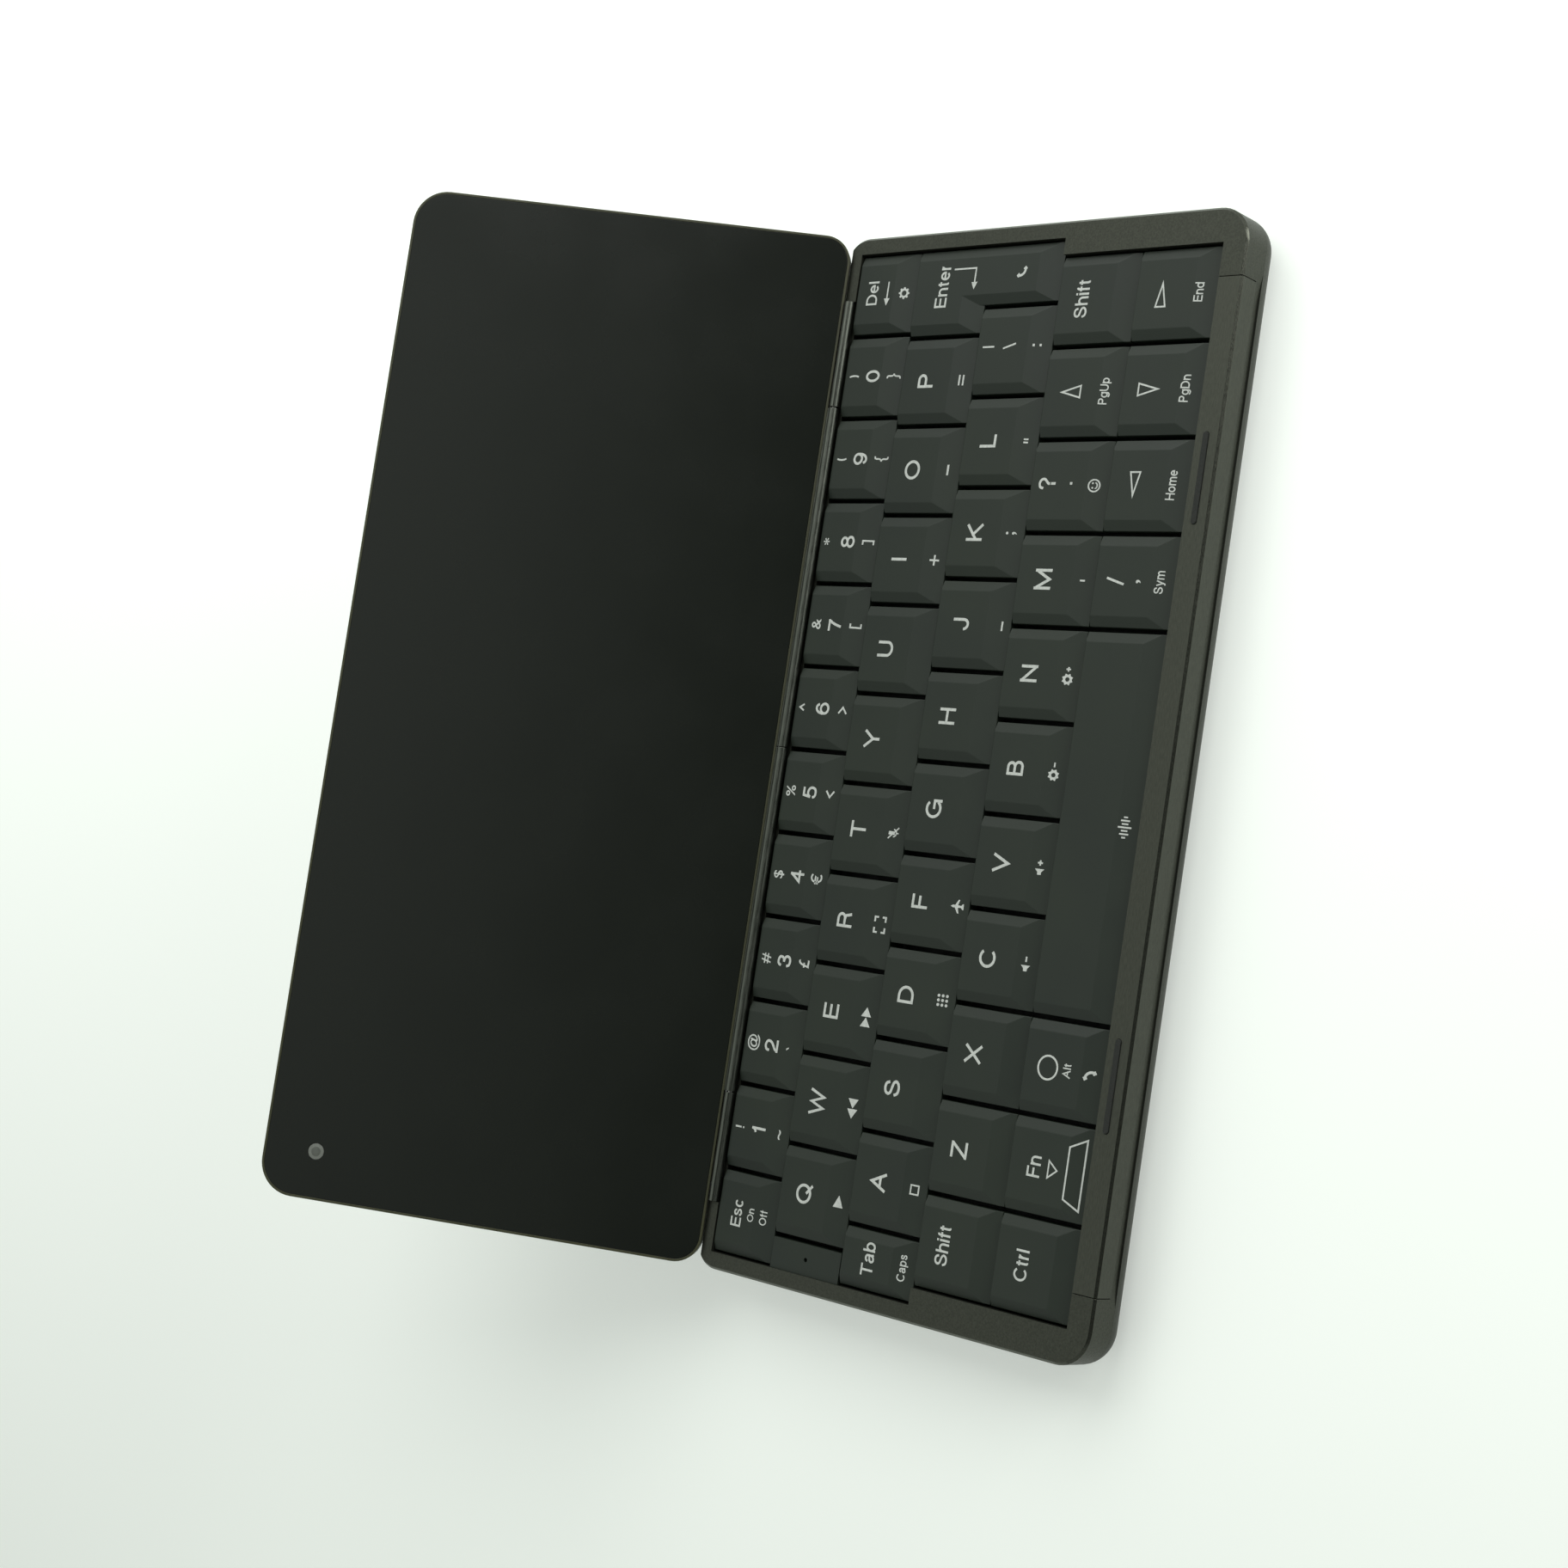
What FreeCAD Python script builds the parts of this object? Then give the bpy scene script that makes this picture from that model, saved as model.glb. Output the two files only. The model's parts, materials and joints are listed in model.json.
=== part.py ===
import FreeCAD, Part
import math
import os

# Clamshell pocket organiser with a full keyboard and a wide screen, open at its stop.
# Millimetres. X runs along the width, Y from the front edge to the hinge, Z up.
# The origin is the centre of the case's underside.

# Case
CASE_WIDTH = 171.4
CASE_DEPTH = 79.3
FRONT_CORNER = 5.75
REAR_CORNER = 4.5
RIM_BEVEL = 0.4
UNDER_ROUND = 4.1
WALL = 1.5
FLOOR = 0.9
INNER_ROUND = 2.2

# Front wall: a bright band under the rim, then a groove, then the lower cover
BAND_HEIGHT = 3.75
GROOVE_HEIGHT = 1.45
GROOVE_DEPTH = 0.3
GROOVE_END_INSET = 8.0
GROOVE_RUN_OUT = 7.0

# Trim strip between the two end caps
TRIM_SKIN = 0.8
END_CAP = 10.7
SEAM = 0.12

# Key well and its stack
SIDE_MARGIN_UPPER = 2.75
SIDE_MARGIN_LOWER = 5.4
FRONT_MARGIN = 4.22
KEY_GAP = 0.75
ROW_GAP = 0.3
TAB_WIDTH = 9.8
TOP_ROW_SHORTER = 2.15
KEY_BELOW_RIM = 0.1
KEY_HEIGHT = 2.5
KEY_TRAVEL = 1.0
PRESSED_CLEARANCE = 0.1
DOME_HEIGHT = 0.7
DOME_RADIUS = 2.2
MAT_THICKNESS = 0.4
PLATE_THICKNESS = 0.6
PLATE_INSET = 1.7

# Key shape
SIDE_FACET = 1.6
SIDE_DROP = 0.6
REAR_BEVEL = 0.15
BACK_ROWS_FACET = 4.4
BACK_ROWS_DROP = 0.75
FRONT_ROWS_FACET = 3.9
FRONT_ROWS_DROP = 0.85

# Hinge
HINGE_INSET = 2.6
HINGE_RADIUS = 0.85
PIN_RADIUS = 0.4
PIN_CLEARANCE = 0.05
PIN_GRIP = 6.0
KNUCKLE_INNER = 57.0
KNUCKLE_GROOVE = 0.3
KNUCKLE_FOOT = 0.6
HINGE_AIR = 0.2
WELL_TO_BARREL = 0.1
OPEN_ANGLE = 144.8

# Lid
LID_GAP = 0.35
LID_THICKNESS = 5.4
LID_TO_AXIS = 1.05
LID_TIP_CORNER = 5.75
LID_HINGE_CORNER = 4.5
LID_BACK_ROUND = 3.0
LID_WALL = 1.2
LID_INNER_ROUND = 1.8
LID_FRAME_DEPTH = 1.85
LID_RIM = 0.4
LID_RELIEF = 0.15
GLASS_THICKNESS = 0.7
GLASS_INSET = 0.05
PANEL_END_MARGIN = 16.7
PANEL_EDGE_MARGIN = 3.1
PANEL_THICKNESS = 1.7
PANEL_CLEARANCE = 0.3
CAMERA_FROM_END = 8.0
CAMERA_FROM_TIP = 9.0
CAMERA_WINDOW_RADIUS = 1.35
CAMERA_BODY_RADIUS = 3.1
CAMERA_BODY_DEPTH = 2.4
CAMERA_CLEARANCE = 0.05
FLEX_WIDTH = 23.0
FLEX_THICKNESS = 0.15
FLEX_START = 20.0

# Bumpers and feet
BUMPER_LENGTH = 13.9
BUMPER_WIDTH = 1.05
BUMPER_CENTRE = 44.8
BUMPER_SETBACK = 2.4
BUMPER_PROUD = 0.2
FOOT_LENGTH = 18.0
FOOT_WIDTH = 4.5
FOOT_PROUD = 0.5
FOOT_POCKET = 0.3
FOOT_FROM_END = 24.0
FOOT_FROM_EDGE = 6.9

# Inside the case
INNER_CLEARANCE = 0.2
SOCKET_WIDTH = 8.94
SOCKET_HEIGHT = 2.9
SOCKET_DEPTH = 7.0
SOCKET_SKIN = 0.3
SOCKET_RECESS = 1.6
SOCKET_FROM_REAR = 28.0
TONGUE_WIDTH = 6.6
TONGUE_THICKNESS = 0.7
SPEAKER_SHARE = 0.4
SPEAKER_PLACE = 0.46
SPEAKER_DEPTH = 9.0
SOUND_SLOTS = 5
SLOT_WIDTH = 1.0
SLOT_SHARE = 0.15
SLOT_HEIGHT = 1.1
BOARD_WIDTH = 46.0
BOARD_THICKNESS = 0.8
CHIP_HEIGHT = 1.1
SERVICE_STRIP = 13.0
SCREW_RADIUS = 0.7
SCREW_HEAD_RADIUS = 1.25
SCREW_HEAD_HEIGHT = 0.7
SCREW_POST_RADIUS = 2.1
SCREW_CLEARANCE = 0.05
SCREW_FROM_EDGE = 4.6
FILLER_DROP = 0.35
MICROPHONE_RADIUS = 0.35

# The case is as high as its stack: floor, socket, plate, mat, dome, travel and cap
INSIDE_BOTTOM = FLOOR + INNER_CLEARANCE / 2
INSIDE_TOP = INSIDE_BOTTOM + SOCKET_HEIGHT
PLATE_BOTTOM = INSIDE_TOP + INNER_CLEARANCE / 2
PLATE_TOP = PLATE_BOTTOM + PLATE_THICKNESS
MAT_TOP = PLATE_TOP + MAT_THICKNESS
DOME_TOP = MAT_TOP + DOME_HEIGHT
KEY_BOTTOM = DOME_TOP + PRESSED_CLEARANCE + KEY_TRAVEL
KEY_TOP = KEY_BOTTOM + KEY_HEIGHT
CASE_HEIGHT = KEY_TOP + KEY_BELOW_RIM

# Places that follow from the sizes above
HALF_WIDTH = CASE_WIDTH / 2
FRONT = -CASE_DEPTH / 2
REAR = CASE_DEPTH / 2
PARTING = CASE_HEIGHT - BAND_HEIGHT - GROOVE_HEIGHT
TRIM_BOTTOM = CASE_HEIGHT - BAND_HEIGHT
TRIM_HALF = HALF_WIDTH - END_CAP

AXIS_Y = REAR - HINGE_INSET
AXIS_Z = CASE_HEIGHT + LID_GAP / 2
BARREL_FLOOR = AXIS_Z - HINGE_RADIUS - HINGE_AIR

WELL_FRONT = FRONT + FRONT_MARGIN
WELL_REAR = AXIS_Y - HINGE_RADIUS - WELL_TO_BARREL
UPPER_HALF = HALF_WIDTH - SIDE_MARGIN_UPPER
LOWER_HALF = HALF_WIDTH - SIDE_MARGIN_LOWER
ROW_PITCH = (WELL_REAR - WELL_FRONT + TOP_ROW_SHORTER) / 5
KEY_PITCH = 2 * LOWER_HALF / 11
DIGIT_PITCH = 2 * UPPER_HALF / 12
WELL_STEP = WELL_FRONT + 2 * ROW_PITCH
INSIDE_X = HALF_WIDTH - WALL - INNER_CLEARANCE

# The lid is laid out closed, glass down, and then swung open
GLASS_FACE = CASE_HEIGHT + LID_GAP
LID_TIP = FRONT + RIM_BEVEL
LID_ROOT = AXIS_Y - LID_TO_AXIS
GLASS_BACK = GLASS_FACE + GLASS_THICKNESS
FRAME_BACK = GLASS_FACE + LID_FRAME_DEPTH
LID_BACK = GLASS_FACE + LID_THICKNESS


def block(x0, x1, y0, y1, z0, z1):
    return Part.makeBox(x1 - x0, y1 - y0, z1 - z0, FreeCAD.Vector(x0, y0, z0))


def rod(radius, length, start, direction):
    return Part.makeCylinder(radius, length, FreeCAD.Vector(*start), FreeCAD.Vector(*direction))


def polygon_prism(points, push):
    wire = Part.makePolygon([FreeCAD.Vector(*p) for p in points + points[:1]])
    return Part.Face(wire).extrude(FreeCAD.Vector(*push))


def corner(centre_x, centre_y, radius, start_angle, z):
    """A quarter turn, anticlockwise from start_angle in degrees."""
    points = []
    for step in (0, 45, 90):
        angle = math.radians(start_angle + step)
        x = centre_x + radius * math.cos(angle)
        y = centre_y + radius * math.sin(angle)
        points.append(FreeCAD.Vector(x, y, z))
    return Part.Arc(*points).toShape()


def rounded_slab(half_x, y0, y1, front_radius, rear_radius, z0, z1):
    """A slab with rounded plan corners, larger at one end than at the other."""
    arcs = [
        corner(half_x - front_radius, y0 + front_radius, front_radius, 270, z0),
        corner(half_x - rear_radius, y1 - rear_radius, rear_radius, 0, z0),
        corner(-half_x + rear_radius, y1 - rear_radius, rear_radius, 90, z0),
        corner(-half_x + front_radius, y0 + front_radius, front_radius, 180, z0),
    ]
    edges = []
    for index, arc in enumerate(arcs):
        following = arcs[(index + 1) % 4]
        edges.append(arc)
        edges.append(Part.makeLine(arc.Vertexes[-1].Point, following.Vertexes[0].Point))
    return Part.Face(Part.Wire(edges)).extrude(FreeCAD.Vector(0, 0, z1 - z0))


def case_slab(inset, z0, z1):
    front = max(FRONT_CORNER - inset, 0.5)
    rear = max(REAR_CORNER - inset, 0.5)
    return rounded_slab(HALF_WIDTH - inset, FRONT + inset, REAR - inset, front, rear, z0, z1)


def lid_slab(inset, z0, z1):
    tip = max(LID_TIP_CORNER - inset, 0.5)
    root = max(LID_HINGE_CORNER - inset, 0.5)
    return rounded_slab(HALF_WIDTH - inset, LID_TIP + inset, LID_ROOT - inset, tip, root, z0, z1)


def edges_at(shape, z):
    return [e for e in shape.Edges if abs(e.BoundBox.ZMin - z) + abs(e.BoundBox.ZMax - z) < 0.001]


def pill(length, width, z0, z1, x, y):
    """An upright slug with round ends, long in X."""
    end = width / 2
    return rounded_slab(length / 2, -end, end, end - 0.01, end - 0.01, z0, z1).translated(
        FreeCAD.Vector(x, y, 0)
    )


def opened(shape):
    """Swing a lid piece from closed to the open stop."""
    turned = shape.copy()
    turned.rotate(FreeCAD.Vector(0, AXIS_Y, AXIS_Z), FreeCAD.Vector(1, 0, 0), -OPEN_ANGLE)
    return turned


def well(z0, z1):
    """The stepped opening that the keys stand in."""
    wide = block(-UPPER_HALF, UPPER_HALF, WELL_STEP, WELL_REAR, z0, z1)
    narrow = block(-LOWER_HALF, LOWER_HALF, WELL_FRONT, WELL_STEP, z0, z1)
    return wide.fuse(narrow).removeSplitter()


def rear_relief():
    """What the lid's lower end sweeps: it bevels the case's top rear edge."""
    cosine = math.cos(math.radians(OPEN_ANGLE))
    sine = math.sin(math.radians(OPEN_ANGLE))
    reach = LID_TO_AXIS - LID_RELIEF
    y_top = AXIS_Y - (reach + sine * LID_GAP / 2) / cosine
    drop = REAR + 1 - y_top
    z_rear = CASE_HEIGHT + drop * cosine / sine
    points = [(-HALF_WIDTH, y_top, CASE_HEIGHT), (-HALF_WIDTH, REAR + 1, z_rear)]
    points += [(-HALF_WIDTH, REAR + 1, CASE_HEIGHT + 1), (-HALF_WIDTH, y_top, CASE_HEIGHT + 1)]
    return polygon_prism(points, (CASE_WIDTH, 0, 0))


def groove():
    """The front groove, which runs out in an arc at each end."""
    half = HALF_WIDTH - GROOVE_END_INSET
    left = Part.Arc(
        FreeCAD.Vector(-half, FRONT - GROOVE_DEPTH / 2, PARTING),
        FreeCAD.Vector(-half + GROOVE_RUN_OUT * 0.45, FRONT + GROOVE_DEPTH * 0.6, PARTING),
        FreeCAD.Vector(-half + GROOVE_RUN_OUT, FRONT + GROOVE_DEPTH, PARTING),
    ).toShape()
    right = left.mirror(FreeCAD.Vector(0, 0, 0), FreeCAD.Vector(1, 0, 0))
    rear = Part.makeLine(left.Vertexes[-1].Point, right.Vertexes[-1].Point)
    front = Part.makeLine(right.Vertexes[0].Point, left.Vertexes[0].Point)
    wire = Part.Wire(Part.__sortEdges__([left, rear, right, front]))
    return Part.Face(wire).extrude(FreeCAD.Vector(0, 0, GROOVE_HEIGHT))


def trim_blank(grow):
    """The strip along the front: a top leg up to the well and a leg down to the groove."""
    half = TRIM_HALF + grow
    top = block(-half, half, FRONT, WELL_FRONT, CASE_HEIGHT - TRIM_SKIN, CASE_HEIGHT)
    front = block(-half, half, FRONT, FRONT + TRIM_SKIN, TRIM_BOTTOM, CASE_HEIGHT)
    return top.fuse(front).removeSplitter()


def rimmed_case(z0):
    body = case_slab(0, z0, CASE_HEIGHT)
    return body.makeChamfer(RIM_BEVEL, edges_at(body, CASE_HEIGHT))


def bumper_places():
    return [(side * BUMPER_CENTRE, FRONT + BUMPER_SETBACK) for side in (-1, 1)]


def case_frame():
    body = rimmed_case(PARTING)
    body = body.cut(well(PLATE_TOP, CASE_HEIGHT + 1))
    body = body.cut(case_slab(PLATE_INSET - INNER_CLEARANCE / 2, PARTING - 1, PLATE_TOP))
    body = body.cut(rear_relief())
    channel = block(-TRIM_HALF, TRIM_HALF, WELL_REAR - 0.01, REAR + 1, BARREL_FLOOR, CASE_HEIGHT + 1)
    body = body.cut(channel)
    body = body.cut(trim_blank(SEAM))
    for x, y in bumper_places():
        depth = CASE_HEIGHT - TRIM_SKIN - 0.5
        body = body.cut(pill(BUMPER_LENGTH, BUMPER_WIDTH, depth, CASE_HEIGHT, x, y))
    return body.cut(groove()).removeSplitter()


def front_trim():
    body = trim_blank(0).common(rimmed_case(PARTING))
    for x, y in bumper_places():
        body = body.cut(pill(BUMPER_LENGTH, BUMPER_WIDTH, PARTING, CASE_HEIGHT + 1, x, y))
    return body.removeSplitter()


def lid_bumpers():
    base = CASE_HEIGHT - TRIM_SKIN - 0.5
    pads = []
    for x, y in bumper_places():
        pad = pill(BUMPER_LENGTH - 0.1, BUMPER_WIDTH - 0.1, base, CASE_HEIGHT + BUMPER_PROUD, x, y)
        pads.append(pad)
    return Part.makeCompound(pads)


def screw_places():
    x = HALF_WIDTH - FRONT_CORNER - SCREW_FROM_EDGE
    front = FRONT + WALL + SCREW_FROM_EDGE
    rear = REAR - WALL - SCREW_FROM_EDGE
    return [(side * x, y) for side in (-1, 1) for y in (front, rear)] + [(0, front), (0, rear)]


def foot_places():
    x = HALF_WIDTH - FOOT_FROM_END
    return [(side * x, y) for side in (-1, 1) for y in (FRONT + FOOT_FROM_EDGE, REAR - FOOT_FROM_EDGE)]


def socket_y():
    return REAR - SOCKET_FROM_REAR


def socket_z():
    return INSIDE_BOTTOM + SOCKET_HEIGHT / 2


def free_wall():
    """The straight end wall between a front corner and a socket: its start and length."""
    start = FRONT + FRONT_CORNER
    return start, socket_y() - SOCKET_WIDTH / 2 - start


def speaker_length():
    return SPEAKER_SHARE * free_wall()[1]


def speaker_y():
    start, length = free_wall()
    return start + SPEAKER_PLACE * length


def socket_body(width, height, depth, side):
    """A flat tube with round sides, its mouth facing the case's end wall."""
    mouth = HALF_WIDTH - SOCKET_RECESS
    body = block(mouth - depth, mouth, -width / 2, width / 2, -height / 2, height / 2)
    long_edges = [e for e in body.Edges if abs(e.BoundBox.XLength - depth) < 0.001]
    body = body.makeFillet(height * 0.42, long_edges)
    body = body.translated(FreeCAD.Vector(0, socket_y(), socket_z()))
    return body if side > 0 else body.mirror(FreeCAD.Vector(0, 0, 0), FreeCAD.Vector(1, 0, 0))


def bottom_cover():
    body = case_slab(0, 0, PARTING)
    body = body.makeFillet(UNDER_ROUND, edges_at(body, 0))
    cavity = case_slab(WALL, FLOOR, PARTING + 1)
    body = body.cut(cavity.makeFillet(INNER_ROUND, edges_at(cavity, FLOOR)))
    for x, y in screw_places():
        body = body.fuse(rod(SCREW_POST_RADIUS, PLATE_BOTTOM - FLOOR / 2, (x, y, FLOOR / 2), (0, 0, 1)))
    for x, y in screw_places():
        body = body.cut(rod(SCREW_RADIUS + SCREW_CLEARANCE, CASE_HEIGHT, (x, y, -1), (0, 0, 1)))
        head = SCREW_HEAD_HEIGHT + SCREW_CLEARANCE
        body = body.cut(rod(SCREW_HEAD_RADIUS + SCREW_CLEARANCE, head + 1, (x, y, -1), (0, 0, 1)))
    for x, y in foot_places():
        body = body.cut(pill(FOOT_LENGTH, FOOT_WIDTH, -1, FOOT_POCKET, x, y))
    for side in (-1, 1):
        hole = socket_body(SOCKET_WIDTH, SOCKET_HEIGHT, SOCKET_DEPTH, side)
        body = body.cut(hole.translated(FreeCAD.Vector(side * SOCKET_DEPTH / 2, 0, 0)))
        for index in range(SOUND_SLOTS):
            y = speaker_y() + (index - (SOUND_SLOTS - 1) / 2) * SLOT_SHARE * speaker_length()
            x0, x1 = sorted((side * (HALF_WIDTH - 2 * WALL), side * (HALF_WIDTH + 1)))
            z = (FLOOR + PARTING) / 2
            body = body.cut(block(x0, x1, y - SLOT_WIDTH / 2, y + SLOT_WIDTH / 2, z, z + SLOT_HEIGHT))
    return body.removeSplitter()


def rubber_feet():
    pads = []
    for x, y in foot_places():
        pad = pill(FOOT_LENGTH - 0.1, FOOT_WIDTH - 0.1, -FOOT_PROUD, FOOT_POCKET, x, y)
        pads.append(pad.makeFillet(FOOT_PROUD / 2, edges_at(pad, -FOOT_PROUD)))
    return Part.makeCompound(pads)


def case_screws():
    screws = []
    for x, y in screw_places():
        shank = rod(SCREW_RADIUS, PLATE_TOP - 0.05, (x, y, 0.05), (0, 0, 1))
        head = rod(SCREW_HEAD_RADIUS, SCREW_HEAD_HEIGHT, (x, y, 0.05), (0, 0, 1))
        slot = block(x - 0.8, x + 0.8, y - 0.15, y + 0.15, 0, 0.35)
        screws.append(head.fuse(shank).cut(slot))
    return Part.makeCompound(screws)


def key_plate():
    body = case_slab(PLATE_INSET, PLATE_BOTTOM, PLATE_TOP)
    for x, y in screw_places():
        body = body.cut(rod(SCREW_RADIUS, CASE_HEIGHT, (x, y, 0), (0, 0, 1)))
    return body


def row_front(row):
    """Front line of a key row's cells; row 1 is next to the hinge."""
    return WELL_FRONT + (5 - row) * ROW_PITCH


def row_rear(row):
    return WELL_REAR if row == 1 else row_front(row) + ROW_PITCH


def key_rows():
    """Every key: row, name, and the left and right edges of its cell."""
    cells = []
    digits = ["esc"] + list("1234567890") + ["delete"]
    for index, name in enumerate(digits):
        x = -UPPER_HALF + index * DIGIT_PITCH
        cells.append((1, name, x, x + DIGIT_PITCH))
    second = UPPER_HALF - 11 * KEY_PITCH
    for index, name in enumerate(list("qwertyuiop") + ["enter"]):
        x = second + index * KEY_PITCH
        cells.append((2, name, x, x + KEY_PITCH))
    cells.append((3, "tab", -UPPER_HALF, -UPPER_HALF + TAB_WIDTH))
    for index, name in enumerate(list("asdfghjkl") + ["colon"]):
        x = -UPPER_HALF + TAB_WIDTH + index * KEY_PITCH
        cells.append((3, name, x, x + KEY_PITCH))
    for index, name in enumerate(["shift_left"] + list("zxcvbnm") + ["question", "up", "shift_right"]):
        x = -LOWER_HALF + index * KEY_PITCH
        cells.append((4, name, x, x + KEY_PITCH))
    places = {"ctrl": 0, "fn": 1, "alt": 2, "space": 3, "slash": 7, "left": 8, "down": 9, "right": 10}
    for name, index in places.items():
        width = 4 * KEY_PITCH if name == "space" else KEY_PITCH
        x = -LOWER_HALF + index * KEY_PITCH
        cells.append((5, name, x, x + width))
    return cells


def key_cap(x0, x1, y0, y1, row):
    """A cap with facets: its profile seen from the front, meeting its profile from the side."""
    x0 += KEY_GAP / 2
    x1 -= KEY_GAP / 2
    y0 += ROW_GAP / 2
    y1 -= ROW_GAP / 2
    facet = BACK_ROWS_FACET if row <= 3 else FRONT_ROWS_FACET
    drop = BACK_ROWS_DROP if row <= 3 else FRONT_ROWS_DROP
    shoulder = KEY_TOP - SIDE_DROP
    across = [(x0, y0, KEY_BOTTOM), (x1, y0, KEY_BOTTOM), (x1, y0, shoulder)]
    across += [(x1 - SIDE_FACET, y0, KEY_TOP), (x0 + SIDE_FACET, y0, KEY_TOP), (x0, y0, shoulder)]
    along = [(x0, y0, KEY_BOTTOM), (x0, y1, KEY_BOTTOM), (x0, y1, KEY_TOP - REAR_BEVEL)]
    along += [(x0, y1 - REAR_BEVEL, KEY_TOP), (x0, y0 + facet, KEY_TOP), (x0, y0, KEY_TOP - drop)]
    return polygon_prism(across, (0, y1 - y0, 0)).common(polygon_prism(along, (x1 - x0, 0, 0)))


def enter_key(x0, x1):
    """The enter key's lower leg fills the end of the row in front of it."""
    leg_left = -UPPER_HALF + TAB_WIDTH + 10 * KEY_PITCH
    upper = key_cap(x0, x1, row_front(2), row_rear(2), 2)
    leg = key_cap(leg_left, x1, row_front(3), row_rear(2), 2)
    return upper.fuse(leg)


def key_nodes():
    """Each key in its node, but the ten digits share one and the seven letters Z to M another."""
    nodes = {}
    for row, name, x0, x1 in key_rows():
        cap = enter_key(x0, x1) if name == "enter" else key_cap(x0, x1, row_front(row), row_rear(row), row)
        node = "key_" + name
        if name.isdigit():
            node = "number_keys"
        if name in "zxcvbnm":
            node = "lower_letter_keys"
        nodes.setdefault(node, []).append(cap)
    return {node: caps[0] if len(caps) == 1 else Part.makeCompound(caps) for node, caps in nodes.items()}


def dome_mat():
    """The rubber sheet under the caps, with a dome for each one, as pressed flat."""
    lower = block(-LOWER_HALF, LOWER_HALF, WELL_FRONT, WELL_STEP, PLATE_TOP, MAT_TOP)
    upper = block(-UPPER_HALF, UPPER_HALF, WELL_STEP, WELL_REAR, PLATE_TOP, MAT_TOP)
    domes = []
    for row, name, x0, x1 in key_rows():
        y = (row_front(row) + row_rear(row)) / 2
        base = FreeCAD.Vector((x0 + x1) / 2, y, MAT_TOP - 0.1)
        domes.append(Part.makeCone(DOME_RADIUS, DOME_RADIUS * 0.6, DOME_HEIGHT + 0.1, base))
    body = lower.fuse([upper] + domes).removeSplitter()
    for x, y in screw_places():
        body = body.cut(rod(SCREW_RADIUS + SCREW_CLEARANCE, 0.3, (x, y, PLATE_TOP - 0.1), (0, 0, 1)))
    return body


def key_row_filler():
    """The blank cap beside the second row, with the microphone's hole."""
    right = UPPER_HALF - 11 * KEY_PITCH - KEY_GAP / 2
    y0 = row_front(2) + ROW_GAP / 2
    y1 = row_rear(2) - ROW_GAP / 2
    body = block(-UPPER_HALF, right, y0, y1, MAT_TOP, KEY_TOP - FILLER_DROP)
    x = (-UPPER_HALF + right) / 2
    return body.cut(rod(MICROPHONE_RADIUS, 1, (x, (y0 + y1) / 2, KEY_TOP - FILLER_DROP - 0.8), (0, 0, 1)))


def usb_sockets():
    sockets = []
    for side in (-1, 1):
        shell = socket_body(SOCKET_WIDTH - 0.1, SOCKET_HEIGHT - 0.1, SOCKET_DEPTH, side)
        inner = socket_body(
            SOCKET_WIDTH - 2 * SOCKET_SKIN, SOCKET_HEIGHT - 2 * SOCKET_SKIN, SOCKET_DEPTH - 1, side
        )
        mouth = HALF_WIDTH - SOCKET_RECESS
        x0, x1 = sorted((side * (mouth - SOCKET_DEPTH + 0.5), side * (mouth - 0.6)))
        half = TONGUE_THICKNESS / 2
        z = socket_z()
        tongue = block(x0, x1, socket_y() - TONGUE_WIDTH / 2, socket_y() + TONGUE_WIDTH / 2, z - half, z + half)
        sockets.append(shell.cut(inner).fuse(tongue).removeSplitter())
    return Part.makeCompound(sockets)


def speakers():
    units = []
    for side in (-1, 1):
        x0, x1 = sorted((side * (INSIDE_X - INNER_ROUND), side * (INSIDE_X - INNER_ROUND - SPEAKER_DEPTH)))
        y = speaker_y()
        unit = block(x0, x1, y - speaker_length() / 2, y + speaker_length() / 2, INSIDE_BOTTOM, INSIDE_TOP)
        upright = [e for e in unit.Edges if e.BoundBox.ZLength > 0.9 * (INSIDE_TOP - INSIDE_BOTTOM)]
        units.append(unit.makeFillet(1.0, upright))
    return Part.makeCompound(units)


def service_y():
    """Battery and board lie between the front and rear rows of screw posts."""
    clear = WALL + SCREW_FROM_EDGE + SCREW_POST_RADIUS + INNER_CLEARANCE
    return FRONT + clear, REAR - clear


def battery():
    y0, y1 = service_y()
    x1 = INSIDE_X - SERVICE_STRIP - BOARD_WIDTH - 2 * INNER_CLEARANCE
    body = block(-INSIDE_X + SERVICE_STRIP, x1, y0, y1, INSIDE_BOTTOM, INSIDE_TOP)
    upright = [e for e in body.Edges if e.BoundBox.ZLength > 0.9 * (INSIDE_TOP - INSIDE_BOTTOM)]
    return body.makeFillet(1.2, upright)


def main_board():
    y0, y1 = service_y()
    x1 = INSIDE_X - SERVICE_STRIP
    x0 = x1 - BOARD_WIDTH
    middle = (y0 + y1) / 2
    top = INSIDE_BOTTOM + BOARD_THICKNESS
    board = block(x0, x1, y0, y1, INSIDE_BOTTOM, top)
    chips = [
        block(x0 + 5, x0 + 19, middle + 3, middle + 17, top, top + CHIP_HEIGHT),
        block(x0 + 24, x0 + 36, middle + 4, middle + 14, top, top + CHIP_HEIGHT),
        block(x0 + 8, x0 + 30, middle - 16, middle - 4, top, top + CHIP_HEIGHT),
    ]
    return board.fuse(chips).removeSplitter()


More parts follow.
